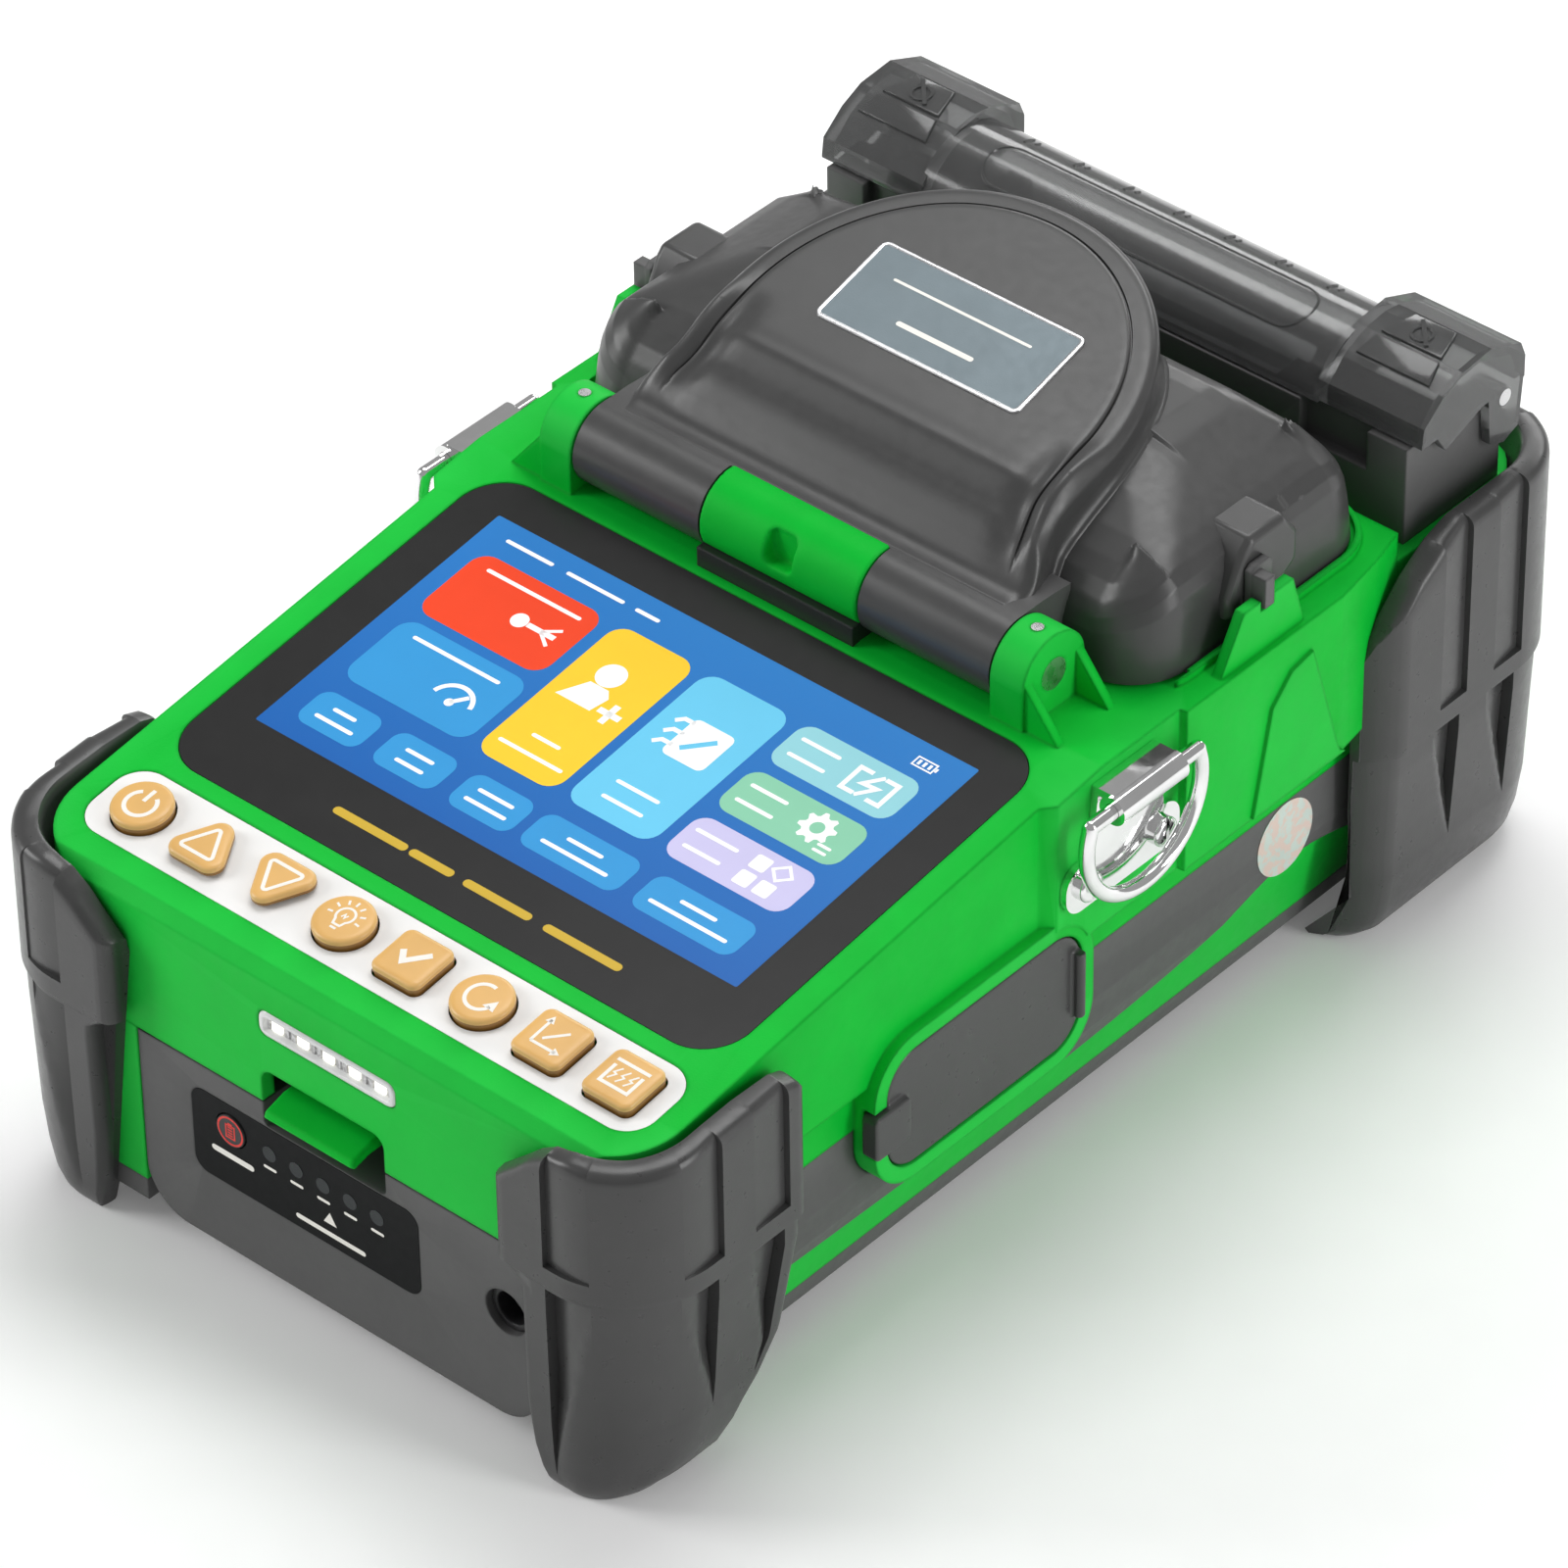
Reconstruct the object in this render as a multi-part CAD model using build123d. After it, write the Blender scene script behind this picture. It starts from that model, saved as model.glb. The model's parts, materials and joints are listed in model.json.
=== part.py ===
from build123d import *
import os
from math import cos, radians, sin, tan

# Fiber fusion splicer, bench and field type. Millimetres.
# Origin: middle of the footprint, on the surface it stands on.
# +X is the operator's right, +Y the rear, +Z up.

# ---- driving dimensions ----------------------------------------------------
BODY_FRONT = -104.0          # front face of the housing
BODY_REAR = 105.0            # rear face of the housing
BUMPER_FRONT = -109.0        # front of the rubber bumpers
BUMPER_REAR = 109.0
BUMPER_X = 66.0              # half width over the bumpers
BASE_Z = 4.5                 # underside of the base plate
TUB_Z = 8.5                  # top of the base plate, bottom of the tub
SPLIT_Z = 38.3               # joint between lower and upper housing
STEP_Z = 47.0                # lower edge of the upper housing's side panels
DECK_Z = 77.0                # deck round the wind cover
REAR_DECK_Z = 71.5           # lower deck that carries the heater
DECK_END = 69.5              # rear edge of the deck
SIDE_X = 59.8                # side wall of the upper housing, at the display
PANEL_X = 63.0               # raised side panel beside the wind cover
STRIP_X = 57.5               # side wall under the panels
TUB_X = 55.2                 # side wall of the tub under the grey side panels
WALL = 2.5

SCREEN_Y = -40.0             # centre of the LCD
SCREEN_Z = 72.0
TILT = 7.57                  # the display rises to the rear by this many degrees
SLOPE = tan(radians(TILT))
LCD_W, LCD_H = 95.04, 53.86  # 4.3 inch, 16:9
GLASS_W, GLASS_LOW, GLASS_HIGH = 110.0, -40.3, 34.2

KEY_ROW = -50.9              # centre line of the keys, along the slope from the LCD centre
KEY_PITCH = 14.0
KEY_TRAVEL = 0.4
KEY_PANEL_W, KEY_PANEL_LOW, KEY_PANEL_HIGH = 111.0, -58.1, -43.7

HINGE_Y, HINGE_Z = 3.2, 83.6  # axis of the wind cover's hinge
BARREL_R = 6.9
PIN_R = 2.7
EAR_IN, EAR_OUT = 41.4, 47.7
KNUCKLE_X = 15.4             # half width of the fixed centre knuckle

COVER_X, COVER_Y0, COVER_Y1 = 57.0, 12.0, 68.0
COVER_Z = 77.6               # lower rim of the wind cover
DOME_R, DOME_Y = 36.4, 27.7  # round rear half of the D-shaped roof
ROOF_TILT = 15.0
ROOF_Y, ROOF_Z = 27.5, 103.0

HEATER_X, HEATER_Y0, HEATER_Y1 = 57.5, 73.5, 96.6
HEATER_TOP = 89.0
LID_X = 59.5
LID_PIN_Y, LID_PIN_Z = 95.0, 88.0

BAY_L, BAY_R = -37.5, 41.5   # battery pack, left and right sides
BAY_REAR = -14.0
RUN = 0.3                    # gap beside a piece that slides

RING_Y, RING_Z = 2.0, 72.6   # axis of the D-ring's straight bar
RING_X = 66.0
PORT_Y0, PORT_Y1, PORT_Z0, PORT_Z1 = -53.0, -3.8, 26.0, 53.0
PORT_HINGE_X, PORT_HINGE_Y = 62.2, -7.7  # flexing roll of the port cover

os.makedirs("parts", exist_ok=True)
NODES = {}


def save(name, *pieces):
    """Write one node: one solid, or a group of separate solids."""
    solids = []
    for piece in pieces:
        solids.extend(piece.solids())
    shape = solids[0] if len(solids) == 1 else Compound(children=solids)
    NODES[name] = shape
    export_step(shape, f"parts/{name}.step")


def box(x0, x1, y0, y1, z0, z1):
    return Pos((x0 + x1) / 2, (y0 + y1) / 2, (z0 + z1) / 2) * Box(x1 - x0, y1 - y0, z1 - z0)


def rod(radius, start, end):
    """A round bar between two points."""
    axis = Vector(*end) - Vector(*start)
    plane = Plane(origin=start, z_dir=axis)
    return extrude(plane * Circle(radius), axis.length)


def side_prism(points, x0, x1):
    """A prism whose outline is given in the YZ plane."""
    face = make_face(Polyline(*[(x0, y, z) for y, z in points], close=True))
    return extrude(face, x1 - x0, dir=(1, 0, 0))


def front_prism(points, y0, y1):
    """A prism whose outline is given in the XZ plane."""
    face = make_face(Polyline(*[(x, y0, z) for x, z in points], close=True))
    return extrude(face, y1 - y0, dir=(0, 1, 0))


def plan_prism(points, z0, z1, radii=()):
    """A prism with a plan outline; radii pairs a corner's index with its fillet."""
    face = make_face(Polyline(*[(x, y, z0) for x, y in points], close=True))
    for index, radius in radii:
        x, y = points[index]
        corner = face.vertices().sort_by_distance((x, y, z0))[0]
        face = fillet(corner, radius)
    return extrude(face, z1 - z0, dir=(0, 0, 1))


def mirrored(points):
    """Close a right-hand outline with its mirror image."""
    return points + [(-x, y) for x, y in reversed(points) if abs(x) > 1e-6]


def round_box(x0, x1, y0, y1, z0, z1, radius):
    """A block with round vertical corners."""
    face = RectangleRounded(x1 - x0, y1 - y0, radius)
    return extrude(Pos((x0 + x1) / 2, (y0 + y1) / 2, z0) * face, z1 - z0)


def side_round(x0, x1, y0, y1, z0, z1, radius):
    """A block with round corners seen from the side."""
    plane = Plane(origin=(x0, (y0 + y1) / 2, (z0 + z1) / 2), x_dir=(0, 1, 0), z_dir=(1, 0, 0))
    return extrude(plane * RectangleRounded(y1 - y0, z1 - z0, radius), x1 - x0)


def front_round(x0, x1, y0, y1, z0, z1, radius):
    """A block with round corners seen from the front."""
    plane = Plane(origin=((x0 + x1) / 2, y0, (z0 + z1) / 2), x_dir=(1, 0, 0), z_dir=(0, -1, 0))
    return extrude(plane * RectangleRounded(x1 - x0, z1 - z0, radius), -(y1 - y0))


SCREEN = Plane(origin=(0, SCREEN_Y, SCREEN_Z), x_dir=(1, 0, 0),
               z_dir=(0, -sin(radians(TILT)), cos(radians(TILT))))


def on_screen(sketch, x, s, depth_top, depth_bottom):
    """Extrude a sketch square to the display, between two depths below the top face."""
    placed = SCREEN.offset(-depth_bottom) * Pos(x, s) * sketch
    return extrude(placed, depth_bottom - depth_top)


def screen_z(y):
    return SCREEN_Z + SLOPE * (y - SCREEN_Y)


def mirror_x(shape):
    return mirror(shape, about=Plane.YZ)


# ---- outlines shared by several pieces --------------------------------------
UPPER_PLAN = mirrored([
    (0, BODY_FRONT), (SIDE_X, BODY_FRONT), (SIDE_X, -14.5), (61.8, -12.5), (61.8, 15.2),
    (PANEL_X, 15.4), (PANEL_X, 52.0), (61.4, 62.0), (SIDE_X - 0.3, DECK_END),
    (SIDE_X - 0.3, BODY_REAR), (0, BODY_REAR)])
UPPER_CORNERS = [(1, 12.0), (9, 13.0), (11, 13.0), (19, 12.0)]
STRIP_PLAN = mirrored([(0, BODY_FRONT), (STRIP_X, BODY_FRONT), (STRIP_X, BODY_REAR), (0, BODY_REAR)])
STRIP_CORNERS = [(1, 10.0), (2, 12.0), (4, 12.0), (5, 10.0)]
TOP_PROFILE = [
    (BODY_FRONT, SPLIT_Z), (BODY_FRONT, 61.6), (-102.2, screen_z(-102.2)), (-2.4, DECK_Z),
    (DECK_END, DECK_Z), (DECK_END, REAR_DECK_Z), (BODY_REAR, REAR_DECK_Z), (BODY_REAR, SPLIT_Z)]


def upper_envelope():
    """The upper housing as a solid block, without its openings."""
    top = plan_prism(UPPER_PLAN, STEP_Z, DECK_Z + 1, UPPER_CORNERS)
    low = plan_prism(STRIP_PLAN, SPLIT_Z, STEP_Z + 1, STRIP_CORNERS)
    return (top + low) & side_prism(TOP_PROFILE, -70, 70)


LOWER_PROFILE = [(0, BASE_Z), (50.5, BASE_Z), (51.5, TUB_Z), (54.2, 16.0), (56.6, 22.0),
                 (STRIP_X, 28.0), (STRIP_X, SPLIT_Z), (0, SPLIT_Z)]
TUB_PROFILE = [(0, TUB_Z), (51.5, TUB_Z), (TUB_X, 26.0), (TUB_X, SPLIT_Z), (0, SPLIT_Z)]


def lower_envelope():
    """Everything under the split, as one block."""
    block = front_prism(mirrored(LOWER_PROFILE), BODY_FRONT, BODY_REAR)
    return block & plan_prism(STRIP_PLAN, 0, SPLIT_Z, STRIP_CORNERS)


# ---- keys ---------------------------------------------------------------------
def triangle(up):
    size = 5.6
    angles = (90, 210, 330) if up else (270, 30, 150)
    points = [(size * cos(radians(a)), size * sin(radians(a)) - (0.9 if up else -0.9)) for a in angles]
    face = make_face(Polyline(*points, close=True))
    return fillet(face.vertices(), 1.2)


KEYS = [("key_power", Circle(4.7)), ("key_up", triangle(True)), ("key_down", triangle(False)),
        ("key_lamp", Circle(4.7)), ("key_enter", RectangleRounded(9.0, 9.0, 1.3)),
        ("key_reset", Circle(4.7)), ("key_xy", RectangleRounded(9.0, 9.0, 1.3)),
        ("key_heater", RectangleRounded(9.0, 9.0, 1.3))]


def key_x(index):
    return (index - 3.5) * KEY_PITCH * 0.97


def make_keys():
    for index, (name, outline) in enumerate(KEYS):
        x = key_x(index)
        cap = on_screen(outline, x, KEY_ROW, -1.9, 2.0)
        flange = on_screen(offset(outline, 0.7), x, KEY_ROW, 1.1, 2.0)
        crown = cap.faces().sort_by(Axis(SCREEN.origin, SCREEN.z_dir))[-1].edges()
        save(name, chamfer(crown, 0.5) + flange)


# ---- housings -------------------------------------------------------------------
def make_upper_housing():
    shell = upper_envelope()
    cavity_profile = [
        (BODY_FRONT + WALL, SPLIT_Z - 1), (BODY_FRONT + WALL, 59.5), (-100.5, screen_z(-100.5) - 3.4),
        (-2.4, DECK_Z - 3.0), (DECK_END - WALL, DECK_Z - 3.0), (DECK_END - WALL, REAR_DECK_Z - WALL),
        (BODY_REAR - WALL, REAR_DECK_Z - WALL), (BODY_REAR - WALL, SPLIT_Z - 1)]
    cavity = side_prism(cavity_profile, -54.8, 54.8)
    cavity &= round_box(-54.8, 54.8, BODY_FRONT + WALL, BODY_REAR - WALL, 0, 90, 8.0)
    shell -= cavity
    glass = RectangleRounded(GLASS_W + 0.3, GLASS_HIGH - GLASS_LOW + 0.3, 8.1)
    glass_mid = (GLASS_HIGH + GLASS_LOW) / 2
    shell -= on_screen(glass, 0, glass_mid, -2, 1.3)
    shell -= on_screen(Rectangle(LCD_W + 7, LCD_H + 9), 0, -0.5, -2, 9)
    panel = RectangleRounded(KEY_PANEL_W + 0.2, KEY_PANEL_HIGH - KEY_PANEL_LOW + 0.2, 5.1)
    panel_mid = (KEY_PANEL_HIGH + KEY_PANEL_LOW) / 2
    shell -= on_screen(panel, 0, panel_mid, -2, 0.6)
    for index, key in enumerate(KEYS):
        shell -= on_screen(offset(key[1], 1.3), key_x(index), KEY_ROW, -2, 9)
    shell -= front_round(-11.9, 15.3, BODY_FRONT - 1, BODY_FRONT + 6, 51.4, 56.2, 1.6)
    shell -= front_round(-12.0, 12.4, BODY_FRONT - 1, BODY_FRONT + 9, 30.0, 44.6, 2.2)
    shell -= round_box(-47.5, 47.5, 14.0, 64.0, 60, 90, 5.0)
    shell -= rod(BARREL_R + 0.4, (-EAR_IN, HINGE_Y, HINGE_Z), (EAR_IN, HINGE_Y, HINGE_Z))
    shell -= port_window()
    shell -= side_round(59.0, 70, PORT_Y0 + 1, PORT_Y1 - 1, PORT_Z0 + 1, PORT_Z1 - 1, 8.0)
    for side in (-1, 1):
        shell += hinge_ear(side)
        shell += clip_bracket(side)
        shell += chevron(side)
    shell += port_frame()
    shell += deck_lip()
    pin = rod(PIN_R, (-60, HINGE_Y, HINGE_Z), (60, HINGE_Y, HINGE_Z))
    shell -= pin
    for side in (-1, 1):
        screw_x = side * (EAR_IN + EAR_OUT) / 2
        shell -= rod(1.0, (screw_x, HINGE_Y, HINGE_Z + 2), (screw_x, HINGE_Y, HINGE_Z + 9))
        for y, z in RING_SCREWS:
            shell -= rod(1.25, (side * 50, y, z), (side * 70, y, z))
    save("upper_housing", shell)


def hinge_ear(side):
    """Ear that holds one end of the hinge pin, with two triangular gussets."""
    x0, x1 = sorted((side * EAR_IN, side * EAR_OUT))
    ear = rod(7.0, (x0, HINGE_Y, HINGE_Z), (x1, HINGE_Y, HINGE_Z))
    ear += box(x0, x1, HINGE_Y - 7.0, HINGE_Y + 7.0, DECK_Z - 2.5, HINGE_Z)
    for y in (HINGE_Y - 6.6, HINGE_Y + 5.0):
        rib = [(side * (EAR_OUT - 0.5), DECK_Z - 1), (side * 54.0, DECK_Z - 1),
               (side * 54.0, DECK_Z), (side * (EAR_OUT - 0.5), HINGE_Z + 2.0)]
        ear += front_prism(rib, y, y + 1.6)
    return ear


def clip_bracket(side):
    """Upright trapezoid on the deck's edge that the cover's clip snaps into."""
    outline = [(24.0, DECK_Z - 0.6), (44.0, DECK_Z - 0.6), (41.0, 86.2), (36.5, 86.2), (36.5, 84.4),
               (33.4, 84.4), (33.4, 86.2), (29.6, 86.2)]
    x0, x1 = sorted((side * 60.2, side * 62.0))
    return side_prism(outline, x0, x1)


def chevron(side):
    """Raised relief on the side panel: a slanted bar with a pointed top."""
    outline = [(31.0, STEP_Z + 0.5), (35.0, 66.0), (39.5, 70.5), (44.5, 71.5), (51.5, STEP_Z + 1.5),
               (53.0, STEP_Z + 0.5)]
    x0, x1 = sorted((side * (PANEL_X - 1.0), side * (PANEL_X + 0.6)))
    return side_prism(outline, x0, x1)


def port_frame():
    """Raised frame round the instrument ports on the right-hand side."""
    frame = side_round(STRIP_X - 0.2, 61.6, PORT_Y0, PORT_Y1, PORT_Z0, PORT_Z1, 9.0)
    frame -= side_round(50, 70, PORT_Y0 + 2.6, PORT_Y1 - 2.6, PORT_Z0 + 2.6, PORT_Z1 - 2.6, 6.6)
    floor = side_round(STRIP_X - 0.2, 58.8, PORT_Y0 + 1, PORT_Y1 - 1, SPLIT_Z + 0.2, PORT_Z1 - 1, 6.0)
    floor -= port_window()
    notch = box(59.4, 70, PORT_Y0 - 2, PORT_Y0 + 4, 34.6, 43.2)
    return (frame + floor) - notch


def deck_lip():
    """Low rim round the foot of the wind cover."""
    outer = round_box(-58.6, 58.6, 10.6, 69.4, DECK_Z - 0.5, DECK_Z + 1.2, 11.6)
    inner = round_box(-57.5, 57.5, -5.0, 68.5, DECK_Z - 1, DECK_Z + 3, 10.5)
    clear = box(-58, 58, 0, 22, DECK_Z - 1, DECK_Z + 3)
    return outer - inner - clear


def make_lower_housing():
    tub = front_prism(mirrored(TUB_PROFILE), BODY_FRONT, BODY_REAR)
    tub &= plan_prism(STRIP_PLAN, 0, SPLIT_Z, STRIP_CORNERS)
    inner = [(0, TUB_Z + WALL), (48.6, TUB_Z + WALL), (52.2, 26.0), (52.2, SPLIT_Z + 1), (0, SPLIT_Z + 1)]
    tub -= front_prism(mirrored(inner), BODY_FRONT + WALL, BODY_REAR - WALL)
    tub -= box(BAY_L - RUN, BAY_R + RUN, BODY_FRONT - 1, BAY_REAR + 1, 0, SPLIT_Z + 1)
    tub -= port_window()
    tub -= port_frame_room()
    save("lower_housing", tub)


def port_window():
    return side_round(45, 75, -45.0, -10.0, 32.0, 46.5, 5.0)


def port_frame_room():
    """The place the port frame takes where it hangs over the lower housing."""
    return side_round(STRIP_X - 0.4, 64, PORT_Y0 - 0.2, PORT_Y1 + 0.2, PORT_Z0 - 0.2, PORT_Z1, 9.2)


def make_side_panels():
    """Grey panels on the tub's sides, each with a wavy lower edge."""
    wave = Spline((-94.0, 19.5), (-64.0, 18.5), (-17.5, 16.4), (10.0, 17.8), (33.0, 22.0),
                  (47.0, 26.0), (64.0, 23.0), (96.0, 17.0))
    outline = wave + Polyline((96.0, 17.0), (96.0, SPLIT_Z), (-94.0, SPLIT_Z), (-94.0, 19.5))
    plane = Plane(origin=(45, 0, 0), x_dir=(0, 1, 0), z_dir=(1, 0, 0))
    panel = extrude(plane * make_face(outline), 20)
    panel &= lower_envelope()
    panel -= front_prism(mirrored(TUB_PROFILE), BODY_FRONT, BODY_REAR)
    left = mirror_x(panel)
    panel -= port_window()
    panel -= port_frame_room()
    save("side_panels", panel, left)


def make_base_plate():
    plate = front_prism(mirrored([(0, BASE_Z), (50.5, BASE_Z), (51.5, TUB_Z), (0, TUB_Z)]),
                        BODY_FRONT, BODY_REAR)
    plate &= plan_prism(STRIP_PLAN, 0, SPLIT_Z, STRIP_CORNERS)
    plate -= box(BAY_L - RUN, BAY_R + RUN, BODY_FRONT - 1, BAY_REAR + 1, 0, SPLIT_Z)
    for x in (-30, 0, 30):
        for y in (15, 45, 75):
            plate -= round_box(x - 9, x + 9, y - 1, y + 1, 0, 10, 0.9)
    save("base_plate", plate)


# ---- bumpers --------------------------------------------------------------------
# level, inset of the sides, corner radius; the ends draw in by a share of the sides' inset
BUMPER_SECTIONS = [(0.0, 10.5, 12.0), (1.2, 7.4, 13.5), (3.4, 5.0, 14.5), (7.5, 3.4, 15.5), (14.0, 2.4, 16.0),
                   (36.0, 1.3, 16.0), (39.5, 0.7, 16.0), (43.5, 0.0, 16.0), (77.5, 0.0, 16.0)]
END_SHARE = 0.3
BUMPER_SCREW_X, BUMPER_SCREW_Y = 46.0, (-92.0, 92.0)
FRONT_RIM, REAR_RIM = 66.5, 76.9


def bumper_block():
    """The outer form of all four bumpers, section by section."""
    sections = []
    for z, inset, radius in BUMPER_SECTIONS:
        wide = 2 * (BUMPER_X - inset)
        deep = BUMPER_REAR - BUMPER_FRONT - 2 * END_SHARE * inset
        sections.append(Pos(0, 0, z) * RectangleRounded(wide, deep, radius))
    return loft(sections, ruled=True)


def body_room():
    """The space that the housings take inside the bumpers."""
    top = plan_prism(UPPER_PLAN, SPLIT_Z, 100, UPPER_CORNERS)
    return top + lower_envelope()


def front_bumper(block):
    """Front right bumper: high at the corner, its front end sloping down."""
    top = [(36.0, 40.0), (38.0, 55.0), (42.0, 57.0), (47.0, 63.0), (52.0, 65.2), (70.0, 66.0),
           (70.0, -1.0), (47.5, -1.0), (44.0, 8.0), (42.6, 16.0), (42.6, 38.6), (38.0, 38.6)]
    corner = block & front_prism(top, BUMPER_FRONT - 1, -60.0)
    rear_cut = [(-69.0, 80.0), (-69.0, 62.0), (-68.0, 40.0), (-70.0, 36.0), (-72.5, 20.0),
                (-84.0, 9.0), (-88.0, -1.0), (-50.0, -1.0), (-50.0, 80.0)]
    corner -= side_prism(rear_cut, 30, 70)
    for y in (-93.0, -79.5):
        corner -= box(BUMPER_X - 0.7, 70, y, y + 5.6, 43.5, 63.0)
        corner -= box(BUMPER_X - 4.2, 70, y + 1.0, y + 3.8, 16.0, 35.6)
    corner -= box(45.5, 50.5, BUMPER_FRONT - 1, BUMPER_FRONT + 0.7, 43.5, 58.0)
    corner -= box(46.5, 49.5, BUMPER_FRONT - 1, BUMPER_FRONT + 3.4, 8.0, 35.6)
    return corner


def rear_bumper(block):
    """Rear right bumper: taller, with an S-shaped front edge."""
    side = [(110.0, 80.0), (78.0, 80.0), (78.0, REAR_RIM), (72.8, 75.2), (67.0, 71.5), (62.0, 66.5),
            (60.0, 63.0), (59.0, 57.0), (59.0, 6.0), (62.0, -1.0), (110.0, -1.0)]
    corner = block & side_prism(side, 30, 70)
    inner = [(28, 80), (28, -1), (45.5, -1), (42.5, 12.0), (42.5, 36.0), (38.0, 40.0), (38.0, 57.0),
             (46.0, 68.0), (50.0, 80)]
    corner -= front_prism(inner, 90, 115)
    for y in (76.0, 89.0):
        corner -= box(BUMPER_X - 0.7, 70, y, y + 5.6, 43.5, 73.0)
        corner -= box(BUMPER_X - 4.2, 70, y + 1.0, y + 3.8, 14.0, 35.6)
    corner -= box(46.5, 49.5, BUMPER_REAR - 3.4, BUMPER_REAR + 1, 8.0, 35.6)
    return corner


def make_bumpers():
    room = box(30, 70, BUMPER_FRONT, -60, 0, FRONT_RIM) + box(30, 70, 50, BUMPER_REAR, 0, REAR_RIM)
    block = bumper_block() & room
    block -= body_room()
    front = front_bumper(block)
    rear = rear_bumper(block)
    for y in BUMPER_SCREW_Y:
        hole = rod(1.6, (BUMPER_SCREW_X, y, -1), (BUMPER_SCREW_X, y, BASE_Z + 1))
        front -= hole
        rear -= hole
    save("bumper_front_right", front)
    save("bumper_front_left", mirror_x(front))
    save("bumper_rear_right", rear)
    save("bumper_rear_left", mirror_x(rear))


# ---- display and keypad ------------------------------------------------------------
def make_display():
    mid = (GLASS_HIGH + GLASS_LOW) / 2
    glass = on_screen(RectangleRounded(GLASS_W, GLASS_HIGH - GLASS_LOW, 8.0), 0, mid, 0.05, 1.3)
    save("display_glass", glass)
    save("lcd_module", on_screen(RectangleRounded(LCD_W + 6, LCD_H + 8, 1.0), 0, -0.5, 1.35, 5.0))
    panel = on_screen(RectangleRounded(KEY_PANEL_W, KEY_PANEL_HIGH - KEY_PANEL_LOW, 5.0), 0,
                      (KEY_PANEL_HIGH + KEY_PANEL_LOW) / 2, 0.05, 0.6)
    for index, key in enumerate(KEYS):
        panel -= on_screen(offset(key[1], 0.35), key_x(index), KEY_ROW, -1, 2)
    save("key_panel", panel)
    board = on_screen(RectangleRounded(108.0, 12.6, 1.0), 0, KEY_ROW, 4.2, 5.6)
    for index in range(len(KEYS)):
        board += on_screen(Circle(2.6), key_x(index), KEY_ROW, 2.5, 4.3)
    save("keypad_board", board)


def make_light_bar():
    lens = front_round(-11.8, 15.2, BODY_FRONT - 0.2, BODY_FRONT + 2.2, 51.5, 56.1, 1.5)
    save("light_bar_lens", lens)
    board = box(-11.0, 14.4, BODY_FRONT + 3.4, BODY_FRONT + 4.4, 51.8, 55.8)
    lamps = [box(x - 1.1, x + 1.1, BODY_FRONT + 2.4, BODY_FRONT + 3.4, 52.4, 55.2)
             for x in (-8.5, -3.4, 1.7, 6.8, 11.9)]
    for lamp in lamps:
        board += lamp
    save("light_bar_leds", board)


# ---- battery ------------------------------------------------------------------------
LABEL = (-27.0, 18.6, 17.4, 33.4)
BUTTON_X, BUTTON_Z = -19.0, 28.6
JACK_X, JACK_Z = 35.6, 24.8


def make_battery():
    case = front_round(BAY_L, BAY_R, BODY_FRONT, BAY_REAR, BASE_Z, SPLIT_Z - RUN, 8.0)
    case += box(BAY_L, BAY_R, BODY_FRONT, BAY_REAR, 20, SPLIT_Z - RUN)
    case -= box(BAY_L + 2, BAY_R - 2, BODY_FRONT + 12, BAY_REAR - 2, BASE_Z + 2, SPLIT_Z - 2.3)
    x0, x1, z0, z1 = LABEL
    case -= front_round(x0 - 0.05, x1 + 0.05, BODY_FRONT - 1, BODY_FRONT + 0.4, z0 - 0.05, z1 + 0.05, 2.6)
    case -= front_round(-12.0, 12.4, BODY_FRONT - 1, BODY_FRONT + 10, 33.7, 50.0, 1.0)
    case -= rod(4.0, (JACK_X, BODY_FRONT - 1, JACK_Z), (JACK_X, BODY_FRONT + 10, JACK_Z))
    case -= rod(3.1, (BUTTON_X, BODY_FRONT - 1, BUTTON_Z), (BUTTON_X, BODY_FRONT + 6, BUTTON_Z))
    case -= box(-5, 5, BODY_FRONT + 10, BODY_FRONT + 12.5, SPLIT_Z - 3, SPLIT_Z)
    save("battery_case", case)
    label = front_round(x0, x1, BODY_FRONT - 0.05, BODY_FRONT + 0.4, z0, z1, 2.6)
    label -= rod(3.1, (BUTTON_X, BODY_FRONT - 1, BUTTON_Z), (BUTTON_X, BODY_FRONT + 6, BUTTON_Z))
    save("battery_label", label)
    button = rod(2.8, (BUTTON_X, BODY_FRONT - 0.3, BUTTON_Z), (BUTTON_X, BODY_FRONT + 4, BUTTON_Z))
    save("battery_check_button", button)
    jack = rod(3.9, (JACK_X, BODY_FRONT + 1.2, JACK_Z), (JACK_X, BODY_FRONT + 10, JACK_Z))
    jack -= rod(2.9, (JACK_X, BODY_FRONT - 1, JACK_Z), (JACK_X, BODY_FRONT + 8.8, JACK_Z))
    jack += rod(1.05, (JACK_X, BODY_FRONT + 3, JACK_Z), (JACK_X, BODY_FRONT + 9, JACK_Z))
    save("dc_inlet", jack)
    cells = []
    for cell_x in (-25.3, -6.9, 11.5, 29.9):
        cells.append(rod(9.1, (cell_x, BODY_FRONT + 16, 16.2), (cell_x, BODY_FRONT + 81, 16.2)))
    save("battery_cells", *cells)
    latch = side_prism([(BODY_FRONT - 2.6, 38.6), (BODY_FRONT - 3.4, 39.2), (BODY_FRONT - 3.0, 40.2),
                        (BODY_FRONT + 1.0, 41.4), (BODY_FRONT + 7.6, 41.8), (BODY_FRONT + 7.6, 39.4),
                        (BODY_FRONT + 0.5, 39.4)], -8.6, 9.0)
    save("battery_latch", latch)


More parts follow.
